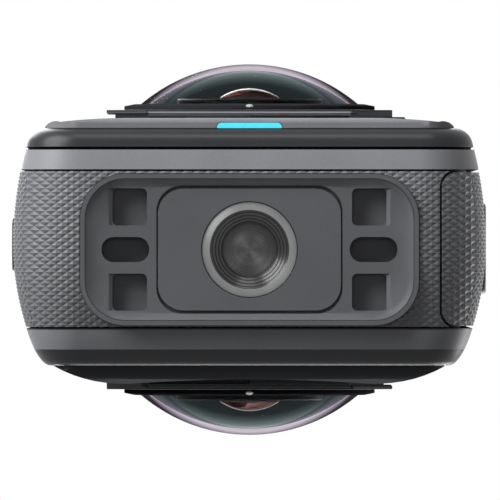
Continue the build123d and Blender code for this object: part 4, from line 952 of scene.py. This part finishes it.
def row_tree(corners: int = 8) -> bpy.types.NodeTree:
    """Build the tree that repeats a rounded rib in a row.

    Args:
        corners: How many sides a rib has.

    Returns:
        The tree. Its ribs stand along X and the row runs along Z.
    """
    sketch = GeometrySketch.start("rib_row", {
        "Count": "Int", "Pitch": "Float", "Length": "Float", "Thickness": "Float", "Height": "Float",
        "Start": "Vector", "Material": "Material"})
    given = sketch.given
    step = sketch.node("ShaderNodeCombineXYZ", {0: 0.0, 1: 0.0, 2: given("Pitch")}).outputs[0]
    line = sketch.node("GeometryNodeMeshLine", {"Count": given("Count"), "Start Location": given("Start"),
                                                "Offset": step}, mode="OFFSET")
    rib = sketch.node("GeometryNodeMeshCylinder", {"Vertices": corners, "Radius": 0.5, "Depth": 1.0})
    turned = sketch.node("GeometryNodeTransform", {"Geometry": rib.outputs["Mesh"],
                                                   "Rotation": (math.pi / 2, 0.0, 0.0)})
    size = sketch.node("ShaderNodeCombineXYZ", {0: given("Height"), 1: given("Length"),
                                                2: given("Thickness")}).outputs[0]
    laid = sketch.node("GeometryNodeInstanceOnPoints", {
        "Points": line.outputs[0], "Instance": turned.outputs[0], "Scale": size})
    return sketch.end(laid.outputs[0])


def soften_tree(weld: float = 0.0005 * MM) -> bpy.types.NodeTree:
    """Build the tree that joins a solid's faces and marks its sharp edges.

    Args:
        weld: How near two corners are joined.

    Returns:
        The tree.
    """
    sketch = GeometrySketch.start("soften", {"Geometry": "Geometry", "Angle": "Float"})
    merged = sketch.node("GeometryNodeMergeByDistance", {"Geometry": sketch.given("Geometry"),
                                                         "Distance": weld})
    smooth = sketch.node("GeometryNodeSetShadeSmooth", {"Geometry": merged.outputs[0], "Shade Smooth": True})
    angle = sketch.node("GeometryNodeInputMeshEdgeAngle").outputs["Unsigned Angle"]
    sharp = sketch.math("GREATER_THAN", angle, sketch.given("Angle"))
    marked = sketch.node("GeometryNodeSetShadeSmooth", {"Geometry": smooth.outputs[0], "Selection": sharp,
                                                        "Shade Smooth": False}, domain="EDGE")
    sketch.node("NodeGroupOutput", {0: marked.outputs[0]})
    return sketch.tree


@dataclass
class Dresser:
    """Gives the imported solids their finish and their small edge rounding."""

    tree: bpy.types.NodeTree = field(default_factory=soften_tree)
    sharp_angle: float = math.radians(28.0)
    edge_segments: int = 2
    face_weight: int = 100
    done: set[str] = field(default_factory=set)

    def dress(self, finish: Finish, names: Iterable[str], edge: float = 0.0) -> None:
        """Finish some solids.

        Args:
            finish: Their finish.
            names: Their node names.
            edge: The edge rounding in millimetres, or zero.
        """
        socket = next(item.identifier for item in self.tree.interface.items_tree if item.name == "Angle")
        for name in names:
            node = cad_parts[name]
            for holder in node.material_slots:
                holder.material = finish.material()
            soften = node.modifiers.new("soften", "NODES")
            soften.node_group = self.tree
            soften[socket] = self.sharp_angle
            if edge:
                self.round_edges(node, edge)
            if finish in (Finish.PANEL, Finish.REAR_PANEL):
                even = node.modifiers.new("even", "WEIGHTED_NORMAL")
                even.keep_sharp = True
                even.weight = self.face_weight
            self.done.add(name)
            LOG.info("dressed %s in %s", name, finish.value.name)

    def round_edges(self, node: bpy.types.Object, edge: float) -> None:
        """Add a small bevel to the sharp edges.

        Args:
            node: The solid.
            edge: Its width in millimetres.
        """
        bevel = node.modifiers.new("edge", "BEVEL")
        bevel.width = edge * MM
        bevel.segments = self.edge_segments
        bevel.limit_method = "ANGLE"
        bevel.angle_limit = self.sharp_angle
        bevel.harden_normals = True
        bevel.use_clamp_overlap = True


# ---------------------------------------------------------------- the body's form
@dataclass(frozen=True)
class BodyForm:
    """The body's outline and crown, as its solids have them, in millimetres."""

    half_width: float = 22.69
    low: float = 0.2
    high: float = 124.0
    corner: float = 6.4
    widest: float = -0.48
    front_crown: float = 1.72
    front_face: float = -11.66
    rear_crown: float = 2.7
    rear_face: float = 11.1
    sleeve_front: float = -7.5
    sleeve_rear: float = 7.4

    @property
    def middle(self) -> float:
        """Half way up the body."""
        return (self.low + self.high) / 2

    @property
    def half_height(self) -> float:
        """Half the body's height."""
        return (self.high - self.low) / 2

    def outwards(self, point: Vector) -> Vector:
        """Find the direction out of the side, ignoring the crown.

        Args:
            point: Where, in metres.

        Returns:
            The direction.
        """
        reach = (self.half_width - self.corner) * MM
        low, high = (self.low + self.corner) * MM, (self.high - self.corner) * MM
        core = Vector((min(max(point.x, -reach), reach), point.y, min(max(point.z, low), high)))
        out = point - core
        return out.normalized() if out.length > TINY else -UP


class Side(Enum):
    """The four sides of the grip: how far each is turned about the depth axis, in degrees."""

    BOTTOM = 0
    LEFT = 90
    TOP = 180
    RIGHT = 270

    @property
    def level(self) -> bool:
        """Whether the side lies flat."""
        return self in (Side.BOTTOM, Side.TOP)


@dataclass(frozen=True)
class Window:
    """A rounded opening in one side, in millimetres: X and Y on a level side, else Y and Z."""

    side: Side
    centre: Flat
    half: Flat
    radius: float

    def outside(self, point: Vector) -> float:
        """Return how far a point lies outside the opening."""
        across, up = (point.x, point.y) if self.side.level else (point.y, point.z)
        return rounded_box_distance(across / MM, up / MM, self.centre, self.half, self.radius)


@dataclass
class KnurledGrip:
    """The grip sleeve and the battery door's skin, both covered in raised diamonds."""

    form: BodyForm = field(default_factory=BodyForm)
    pitch_along: float = 1.09
    pitch_across: float = 0.729
    relief: float = 0.13
    end_allowance: float = 0.9
    spare_rows: int = 5
    seam_angle: float = 60.0
    wall: float = 0.95
    door_wall: float = 0.9
    door_left: float = 18.45
    door_top: float = 62.0
    door_radius: float = 1.4
    door_gap: float = 0.25
    door_inset: float = 0.1
    beyond: float = 20.0           # how far the door's outlines run past the body
    near_door: float = 1.0         # points farther off than this need no measuring
    mount: Window = Window(Side.BOTTOM, (0, 0), (16.25, 7.3), 4.35)
    socket_door: Window = Window(Side.LEFT, (0.075, 74.1), (4.525, 12.95), 1.0)
    latch: Window = Window(Side.RIGHT, (-0.1, 49.0), (4.5, 9.6), 1.7)
    button_heights: Flat = (35, 50)
    button_depth: float = -0.6
    button_half: Flat = (2.8, 5.65)
    button_radius: float = 2.55
    sound_hole_middle: float = 73
    sound_hole_pitch: float = 2.2
    microphone_places: Flat = (-8, 8)
    hole_radius: float = 0.5

    def windows(self) -> list[Window]:
        """List the rounded openings of the sleeve.

        Returns:
            The mount, the socket door, the side buttons, the sound holes and the microphones.
        """
        hole = (self.hole_radius, self.hole_radius)
        heights = [self.sound_hole_middle + step * self.sound_hole_pitch for step in range(-2, 3)]
        buttons = [Window(Side.LEFT, (self.button_depth, height), self.button_half, self.button_radius)
                   for height in self.button_heights]
        sound = [Window(Side.RIGHT, (0, height), hole, self.hole_radius) for height in heights]
        microphones = [Window(Side.TOP, (place, 0), hole, self.hole_radius)
                       for place in self.microphone_places]
        return [self.mount, *sound, *microphones, *buttons, self.socket_door]

    def patch(self, side: Side, tree: bpy.types.NodeTree) -> bmesh.types.BMesh:
        """Grow one side's diamonds and set them in place.

        Args:
            side: Which side.
            tree: The diamond tree.

        Returns:
            The untrimmed sheet.
        """
        form = self.form
        half, reach = form.half_width, form.half_height
        if not side.level:
            half, reach = reach, half
        depth = form.sleeve_rear - form.sleeve_front
        bm = grow(tree, {
            "Columns": 2 * math.ceil((half - self.end_allowance) * 2 / self.pitch_along) + 1,
            "Rows": 2 * math.ceil(depth / self.pitch_across) + self.spare_rows,
            "Pitch Along": self.pitch_along * MM, "Pitch Across": self.pitch_across * MM,
            "Relief": self.relief * MM, "Middle": (form.sleeve_front + form.sleeve_rear) / 2 * MM,
            "Straight Half": (half - form.corner) * MM, "Corner Radius": form.corner * MM,
            "Widest": form.widest * MM,
            "Front Fall": form.front_crown / (form.front_face - form.widest) ** 2 / MM,
            "Rear Fall": form.rear_crown / (form.rear_face - form.widest) ** 2 / MM,
            "Material": Finish.GRIP.material()})
        turn = Matrix.Rotation(math.radians(side.value), 4, "Y")
        drop = Matrix.Translation((0, 0, -reach * MM))
        bm.transform(Matrix.Translation((0, 0, form.middle * MM)) @ turn @ drop)
        for face in list(bm.faces):
            face.normal_update()
            if face.normal.dot(form.outwards(face.calc_center_median())) < 0:
                face.normal_flip()
        return bm

    def seam(self, side: Side) -> Distance:
        """Find a side's share of the body's corners.

        Args:
            side: Which side.

        Returns:
            A measure that is positive on this side of its seam lines.
        """
        limit = math.sin(math.radians(self.seam_angle if side.level else 90 - self.seam_angle))

        def distance(point: Vector) -> float:
            """Measure how far the corner has yet to turn."""
            out = self.form.outwards(point)
            return limit - abs(out.x if side.level else out.z)

        return distance

    def door(self, grow_by: float, point: Vector) -> float:
        """Measure how far a point lies outside the battery door.

        Args:
            grow_by: How much larger the door is taken, in millimetres.
            point: The point, in metres.

        Returns:
            The distance in millimetres, negative inside.
        """
        x, y, z = point / MM
        left, top = self.door_left - grow_by, self.door_top + grow_by
        if x < left - self.near_door or z > top + self.near_door:
            return self.near_door
        front, rear = self.form.sleeve_front + self.door_inset, self.form.sleeve_rear - self.door_inset
        half = (rear - front) / 2 + grow_by
        radius = self.door_radius + grow_by
        middle = (front + rear) / 2
        if z < self.form.low + self.form.corner:
            return rounded_box_distance(x, y, (left + self.beyond, middle), (self.beyond, half), radius)
        centre = (middle, (top - self.beyond) / 2)
        return rounded_box_distance(y, z, centre, (half, (top + self.beyond) / 2), radius)

    def openings(self, side: Side) -> list[Distance]:
        """List everything that the sleeve leaves open on a side.

        Args:
            side: Which side.

        Returns:
            The distances outside each opening.
        """
        made: list[Distance] = [window.outside for window in self.windows() if window.side is side]
        if side in (Side.BOTTOM, Side.RIGHT):
            made.append(lambda point: self.door(self.door_gap, point))
        return made

    def door_limits(self, side: Side) -> list[Distance]:
        """List what bounds the battery door's skin on a side.

        Args:
            side: Which side.

        Returns:
            Distances that are positive on the skin.
        """
        form, inset = self.form, self.door_inset
        made: list[Distance] = [lambda point: -self.door(0.0, point),
                                lambda point: form.sleeve_rear - inset - point.y / MM,
                                lambda point: point.y / MM - form.sleeve_front - inset]
        return made + ([self.latch.outside] if side is self.latch.side else [])

    def skin(self, side: Side, tree: bpy.types.NodeTree, keep: Sequence[Distance],
             wall: float) -> bmesh.types.BMesh:
        """Grow, trim and thicken one side.

        Args:
            side: Which side.
            tree: The diamond tree.
            keep: Distances that are positive on what stays.
            wall: The wall in millimetres.

        Returns:
            The closed shape.
        """
        form = self.form
        bm = self.patch(side, tree)
        trim(bm, lambda point: point.y / MM - form.sleeve_front)
        trim(bm, lambda point: form.sleeve_rear - point.y / MM)
        trim(bm, self.seam(side))
        for distance in keep:
            trim(bm, distance)
        thicken(bm, lambda point: form.outwards(point) * (-wall * MM))
        return bm

    def build(self) -> None:
        """Make the sleeve and the door's skin."""
        tree = crowned_diamond_tree()
        sleeve = joined(self.skin(side, tree, self.openings(side), self.wall) for side in Side)
        made = piece_from(sleeve, "knurled_sleeve", [Finish.GRIP], "root", None)
        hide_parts("grip_sleeve")
        door = joined(self.skin(side, tree, self.door_limits(side), self.door_wall)
                      for side in (Side.BOTTOM, Side.RIGHT))
        made = piece_from(door, "knurled_door_skin", [Finish.GRIP], "battery", None)
        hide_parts("battery_cover")


@dataclass
class TripodBush:
    """The turned steel bush with its ridged mouth, cut thread and swirled end, in millimetres."""

    low: float = 0.35
    top: float = 7.8
    outer: float = 4.57
    ring_slope: float = 0.2
    ring_edge: Flat = (0.03, 0.05)
    mouth: float = 3.8
    mouth_land: float = 0.06
    mouth_depth: float = 1.5
    mouth_rings: int = 24
    minor: float = 2.58
    major: float = 3.175
    pitch: float = 1.27
    end: float = 7.0
    flange: float = 6.2
    flange_low: float = 4.59
    flange_high: float = 5.39
    ridges: int = 4
    ridge_height: float = 0.05
    ridge_fade: float = 6.0
    thread_fades: Flat = (0.3, 0.4)
    thread_slope: float = 2.3
    thread_rings: int = 60
    lip: float = 0.01
    end_step: float = 0.12
    end_rise: float = 0.06
    end_shares: tuple[float, ...] = (1.0, 0.75, 0.5, 0.25, 0.08)
    near: float = 0.02             # how closely a face's middle is told from an edge
    end_margin: float = 0.1        # faces this far above the blind end are on the outside
    steps: int = 96

    def wall_radius(self, angle: float, height: float) -> float:
        """Find the hole's radius, with the mouth's ridges and the thread.

        Args:
            angle: Where round the axis.
            height: Where along it.

        Returns:
            The radius.
        """
        share = (height - self.low) / self.mouth_depth
        if share < 1:
            ridge = self.ridge_height * math.cos(2 * math.pi * self.ridges * share)
            fade = min(1.0, self.ridge_fade * share, self.ridge_fade * (1 - share))
            return self.mouth - (self.mouth - self.minor) * share + ridge * fade
        turn = (height / self.pitch - angle / (2 * math.pi)) % 1.0
        fade_in, fade_out = self.thread_fades
        fade = min(1.0, (height - self.low - self.mouth_depth) / fade_in, (self.end - height) / fade_out)
        crest = max(0.0, 1 - abs(turn - 0.5) * self.thread_slope)
        return self.minor + (self.major - self.minor) * crest * max(fade, 0.0)

    def wall(self, low: float, high: float, steps: Iterable[float]) -> list[ProfilePlace]:
        """List the hole's places between two heights.

        Args:
            low: The lower height.
            high: The upper one.
            steps: The shares of the way up.

        Returns:
            The places.
        """
        heights = [low + (high - low) * share for share in steps]
        return [lambda angle, height=height: (self.wall_radius(angle, height) * MM, height * MM)
                for height in heights]

    def finish_of(self, face: bmesh.types.BMFace) -> int:
        """Tell the blind end, the hole and the outside apart.

        Args:
            face: A face.

        Returns:
            Its finish's index.
        """
        middle = face.calc_center_median() / MM
        radius = math.hypot(middle.x, middle.y)
        if radius >= self.mouth + self.near or middle.z >= self.end + self.end_margin:
            return 0
        return 2 if radius < self.minor - self.end_step - self.near and middle.z > self.end - self.near else 1

    def build(self) -> None:
        """Make the bush."""
        edge_in, edge_up = self.ring_edge
        ring_top = self.low + self.ring_slope
        mouth_top = self.low + self.mouth_depth
        profile = [constant(self.outer, self.top), constant(self.outer, self.flange_high),
                   constant(self.flange, self.flange_high), constant(self.flange, self.flange_low),
                   constant(self.outer, self.flange_low), constant(self.outer, ring_top + edge_up),
                   constant(self.outer - edge_in, ring_top), constant(self.mouth + self.mouth_land, self.low)]
        profile += self.wall(self.low + self.lip, mouth_top,
                             [index / self.mouth_rings for index in range(self.mouth_rings + 1)])
        profile += self.wall(mouth_top, self.end,
                             [index / self.thread_rings for index in range(1, self.thread_rings + 1)])
        disc = self.minor - self.end_step
        profile += [constant(disc * share, self.end + self.end_rise * (1 - share))
                    for share in self.end_shares]
        bm = bmesh.new()
        rings = lathe(bm, profile, self.steps, ORIGIN, UP)
        cap(bm, rings[0], UP * self.top * MM, True)
        cap(bm, rings[-1], UP * (self.end + self.end_rise) * MM, False)
        bmesh.ops.recalc_face_normals(bm, faces=bm.faces)
        for face in bm.faces:
            face.material_index = self.finish_of(face)
        # the hole's and the blind end's darker steels are painted shade inside the hole
        made = piece_from(bm, "threaded_bush", [Finish.RING_STEEL, Finish.STEEL, Finish.DISC_STEEL], "root",
                          smooth_angle=40.0)
        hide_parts("tripod_bush")


@dataclass
class LensUnit:
    """One side's lens: thin glass dome, bezel with its index dot, and the optics below, in millimetres."""

    side: str
    facing: float
    axis_height: float = 101.5
    reach: float = 18.5
    radius: float = 16.75
    edge: float = 14.0
    wall: float = 0.6
    outer_rings: int = 48
    inner_rings: int = 32
    barrel_face: float = 13.8
    baffle_face: float = 15.05
    baffle_radius: float = 7.3
    baffle_bore: float = 4.25
    baffle_round: float = 0.15
    baffle_chamfer: Flat = (0.5, 0.35)
    baffle_steps: int = 96
    dot_depth: float = 14.24
    dot_drop: float = 12.5
    dot_places: tuple[Flat, ...] = ((0.0002, -0.02), (0.17, -0.02), (0.2, 0.0), (0.17, 0.06))
    dot_stretch: float = 1.8
    dot_steps: int = 20
    bezel_edge: float = 0.06
    barrel_edge: float = 0.05
    steps: int = 128

    @property
    def out(self) -> Vector:
        """The direction that the lens looks in."""
        return Vector((0, self.facing, 0))

    @property
    def middle(self) -> Vector:
        """The middle of the body on the lens axis, in metres."""
        return UP * self.axis_height * MM

    def build(self, dresser: Dresser) -> None:
        """Make and dress the unit.

        Args:
            dresser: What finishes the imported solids.
        """
        self.build_dome()
        self.build_baffle()
        self.build_dot()
        for finish, edge, names in (
                (Finish.GLOSS_BLACK, self.bezel_edge, "lens_bezel"),
                (Finish.LENS_BASE, self.bezel_edge, "lens_base"),
                (Finish.DEEP_BLACK, self.barrel_edge, "lens_barrel"),
                (Finish.SEAL, 0.0, "lens_seal"),
                (Finish.ELEMENT, 0.0, "inner_element lens_group")):
            dresser.dress(finish, [self.side + "_" + name for name in names.split()], edge)

    def arc(self, radius: float, shares: Iterable[float]) -> list[ProfilePlace]:
        """List the places of one of the dome's two balls.

        Args:
            radius: The ball's radius.
            shares: The shares of the way from the apex to the edge.

        Returns:
            The places.
        """
        centre = self.reach - self.radius
        end = math.acos((self.edge - centre) / radius)
        angles = [end * share for share in shares]
        return [constant(radius * math.sin(angle), centre + radius * math.cos(angle)) for angle in angles]

    def build_dome(self) -> None:
        """Make the dome: a glass shell whose blackened rim sits in the bezel."""
        bm = bmesh.new()
        outside = self.arc(self.radius,
                           [index / self.outer_rings for index in range(1, self.outer_rings + 1)])
        inside = self.arc(self.radius - self.wall,
                          [index / self.inner_rings for index in range(self.inner_rings, 0, -1)])
        rings = lathe(bm, outside + inside, self.steps, self.middle, self.out)
        cap(bm, rings[0], self.middle + self.out * self.reach * MM, True)
        cap(bm, rings[-1], self.middle + self.out * (self.reach - self.wall) * MM, False)
        outer = {vert for ring in rings[:len(outside)] for vert in ring}
        inner = {vert for ring in rings[len(outside):] for vert in ring}
        for face in bm.faces:
            touches = (not outer.isdisjoint(face.verts), not inner.isdisjoint(face.verts))
            face.material_index = 1 if all(touches) else 0 if touches[0] else 2
        bmesh.ops.recalc_face_normals(bm, faces=bm.faces)
        made = piece_from(bm, self.side + "_glass_dome", [Finish.DOME, Finish.DEEP_BLACK, Finish.CLEAR],
                          self.side + "_lens", smooth_angle=30.0)
        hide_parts(self.side + "_lens_dome")

    def build_baffle(self) -> None:
        """Make the black stepped baffle that stands round the inner element."""
        bm = bmesh.new()
        chamfer_width, chamfer_depth = self.baffle_chamfer
        rows = [(self.baffle_radius, self.barrel_face),
                (self.baffle_radius, self.baffle_face - self.baffle_round),
                (self.baffle_radius - self.baffle_round, self.baffle_face),
                (self.baffle_bore + chamfer_width, self.baffle_face),
                (self.baffle_bore, self.baffle_face - chamfer_depth), (self.baffle_bore, self.barrel_face)]
        lathe(bm, [constant(*row) for row in rows], self.baffle_steps, self.middle, self.out, closed=True)
        bmesh.ops.recalc_face_normals(bm, faces=bm.faces)
        made = piece_from(bm, self.side + "_baffle", [Finish.DEEP_BLACK], "root")

    def build_dot(self) -> None:
        """Make the small pale index dot on the bezel's underside."""
        bm = bmesh.new()
        where = self.middle + (self.out * self.dot_depth - UP * self.dot_drop) * MM
        rings = lathe(bm, [constant(*place) for place in self.dot_places], self.dot_steps, where, UP)
        cap(bm, rings[-1], where + UP * self.dot_places[-1][1] * MM, False)
        for vert in bm.verts:
            vert.co.x *= self.dot_stretch
        bmesh.ops.recalc_face_normals(bm, faces=bm.faces)
        made = piece_from(bm, self.side + "_index_dot", [Finish.SPRING], self.side + "_lens")


@dataclass
class BatteryLatch:
    """The latch on the battery door, with its ribs, in millimetres."""

    face: float = 23.0
    count: int = 12
    pitch: float = 1.0
    first: float = 42.0
    middle: float = -0.1
    length: float = 6.4
    thickness: float = 0.5
    height: float = 0.24

    def build(self, dresser: Dresser) -> None:
        """Dress the slider and add its ribs.

        Args:
            dresser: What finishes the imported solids.
        """
        dresser.dress(Finish.GRIP, ["battery_latch"])
        start = (self.face - self.height / 2, self.middle, self.first)
        bm = grow(row_tree(), {
            "Count": self.count, "Pitch": self.pitch * MM, "Length": self.length * MM,
            "Thickness": self.thickness * MM, "Height": self.height * MM,
            "Start": tuple(value * MM for value in start), "Material": Finish.GRIP.material()})
        made = piece_from(bm, "latch_ribs", [Finish.GRIP], "battery_latch")


@dataclass
class Housing:
    """The panels, frames, mount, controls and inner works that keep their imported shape."""

    panel_edge: float = 0.06
    edge: float = 0.05
    button_edge: float = 0.04
    fine_edge: float = 0.03
    wide_edge: float = 0.1

    def build(self, dresser: Dresser) -> None:
        """Dress every remaining solid.

        Args:
            dresser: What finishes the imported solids.
        """
        for finish, edge, names in (
                (Finish.PANEL, self.panel_edge, "front_panel"),
                (Finish.REAR_PANEL, self.panel_edge, "rear_panel"),
                (Finish.GRAPHITE, self.edge, "front_frame rear_frame"),
                (Finish.BAND, self.edge, "mid_frame"),
                (Finish.SEAL, 0.0, "front_gasket rear_gasket battery_seal socket_door_seal"),
                (Finish.SCREEN, self.panel_edge, "touch_glass"),
                (Finish.MOUNT, self.wide_edge, "mount_frame latch_plate tripod_plate"),
                (Finish.LIGHT, self.fine_edge, "light_bar"),
                (Finish.KEY, self.edge, "shutter_button lens_switch_button"),
                (Finish.GRAPHITE, self.button_edge, "power_button quick_button socket_door battery_plug"),
                (Finish.CELL, self.wide_edge, "battery_pack"),
                (Finish.CONTACT, 0.0, "battery_contacts"),
                (Finish.CAST, 0.0, "inner_chassis rear_heat_plate heat_block"),
                (Finish.BOARD, 0.0, "main_board sensor_boards light_board front_key_board side_key_board "
                                    "socket_board display_module"),
                (Finish.SPRING, 0.0, "processor_shield usb_socket card_socket socket_door_pin microphones "
                                     "mount_magnets mount_screws housing_screws"),
                (Finish.BLACK, self.edge, "speaker memory_card")):
            dresser.dress(finish, names.split(), edge)


# ---------------------------------------------------------------- the studio
@dataclass
class Softbox:
    """A soft rectangular lamp that points at the camera body, in metres and watts."""

    name: str
    place: tuple[float, float, float]
    size: Flat
    power: float
    aim: tuple[float, float, float] = (0.0, 0.0, 0.06)

    def build(self) -> None:
        """Make the lamp."""
        lamp = bpy.data.lights.new(self.name, "AREA")
        lamp.shape = "RECTANGLE"
        lamp.size, lamp.size_y = self.size
        lamp.energy = self.power
        made = add_object(self.name, lamp)
        made.location = self.place
        away = Vector(self.place) - Vector(self.aim)
        made.rotation_euler = away.to_track_quat("Z", "Y").to_euler()


@dataclass
class Studio:
    """A pale floor, soft lamps, a white background and the camera below the object, in metres."""

    camera_distance: float = 2.29
    frame_width: float = 0.0478
    sensor_width: float = 36.0
    clip: Flat = (0.1, 200.0)
    shift: Flat = (0.00005, 0.00004)
    floor_reach: float = 1.5
    floor_drop: float = 0.00002
    paper: tuple[float, float, float, float] = (0.86, 0.86, 0.86, 1)
    ambient: float = 0.07
    base_aim: tuple[float, float, float] = (0.0, 0.0, 0.01)

    def build(self) -> None:
        """Set the whole stage."""
        self.build_world()
        self.build_floor()
        self.build_camera()
        for lamp in self.lamps():
            lamp.build()

    def lamps(self) -> list[Softbox]:
        """List the lamps.

        Returns:
            Two below in front, the stronger one at the left, two small ones under the base and three
            large ones above.
        """
        base = self.base_aim
        return [Softbox("front_left_below", (-0.42, -0.37, -0.215), (0.45, 0.45), 6.1, base),
                Softbox("front_below", (0.05, -0.72, -0.24), (0.4, 0.3), 1.7, base),
                Softbox("under_left", (-0.1, -0.11, -0.95), (0.1, 0.1), 0.3, base),
                Softbox("under_right", (0.12, -0.1, -0.95), (0.1, 0.1), 0.15, base),
                Softbox("overhead", (-0.3, -0.5, 1.1), (0.8, 0.8), 12.0),
                Softbox("right_fill", (0.9, 0.3, 0.7), (0.6, 0.6), 5.0),
                Softbox("rear_fill", (0.2, 0.8, 0.9), (0.6, 0.6), 7.0)]

    def build_world(self) -> None:
        """Make a world that looks white and lights the object gently."""
        world = bpy.data.worlds.new("studio")
        sketch = ShaderSketch.over(world)
        path = sketch.node("ShaderNodeLightPath")
        beyond = sketch.math("MAXIMUM", path.outputs["Is Glossy Ray"], path.outputs["Is Transmission Ray"])
        seen = sketch.math("MAXIMUM", path.outputs["Is Camera Ray"], beyond)
        strength = sketch.span(seen, 0.0, 1.0, self.ambient, 1.0)
        back = sketch.node("ShaderNodeBackground", {"Color": (1, 1, 1, 1), "Strength": strength})
        sketch.node("ShaderNodeOutputWorld", {"Surface": back.outputs[0]})
        bpy.context.scene.world = world

    def build_floor(self) -> None:
        """Make a pale floor that shows from above only, so that the camera below sees the base."""
        bm = bmesh.new()
        reach = self.floor_reach
        corners = [bm.verts.new((x, y, -self.floor_drop)) for x, y in
                   ((-reach, -reach), (reach, -reach), (reach, reach), (-reach, reach))]
        bm.faces.new(corners)
        mesh = bpy.data.meshes.new("floor")
        bm.to_mesh(mesh)
        bm.free()
        floor = add_object("floor", mesh)
        made = bpy.data.materials.new("floor_paper")
        sketch = ShaderSketch.over(made)
        path = sketch.node("ShaderNodeLightPath")
        back = sketch.node("ShaderNodeNewGeometry").outputs["Backfacing"]
        shown = sketch.product(path.outputs["Is Camera Ray"], sketch.math("SUBTRACT", 1.0, back))
        paper = sketch.node("ShaderNodeBsdfDiffuse", {"Color": self.paper})
        clear = sketch.node("ShaderNodeBsdfTransparent")
        mixed = sketch.node("ShaderNodeMixShader", {0: shown, 1: clear.outputs[0], 2: paper.outputs[0]})
        sketch.node("ShaderNodeOutputMaterial", {"Surface": mixed.outputs[0]})
        mesh.materials.append(made)

    def build_camera(self) -> None:
        """Put the camera straight below the base, far away, with the front side up."""
        data = bpy.data.cameras.new("view")
        data.sensor_width = self.sensor_width
        data.lens = self.sensor_width * self.camera_distance / self.frame_width
        data.clip_start, data.clip_end = self.clip
        made = add_object("view", data)
        turn = Matrix(((1, 0, 0), (0, -1, 0), (0, 0, -1))).to_4x4()
        made.matrix_world = Matrix.Translation((*self.shift, -self.camera_distance)) @ turn
        bpy.context.scene.camera = made


def main() -> None:
    """Build the studio and the camera's looks, piece by piece."""
    logging.basicConfig(level=logging.INFO, format="%(name)s: %(message)s", force=True)
    bpy.context.scene.view_settings.view_transform = "Standard"
    Studio().build()
    dresser = Dresser()
    KnurledGrip().build()
    TripodBush().build()
    for side, facing in (("front", -1.0), ("rear", 1.0)):
        LensUnit(side, facing).build(dresser)
    BatteryLatch().build(dresser)
    Housing().build(dresser)
    missed = sorted(set(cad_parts) - dresser.done)
    LOG.info("solids that a piece stands for: %s", ", ".join(missed))


if __name__ == "__main__":
    main()
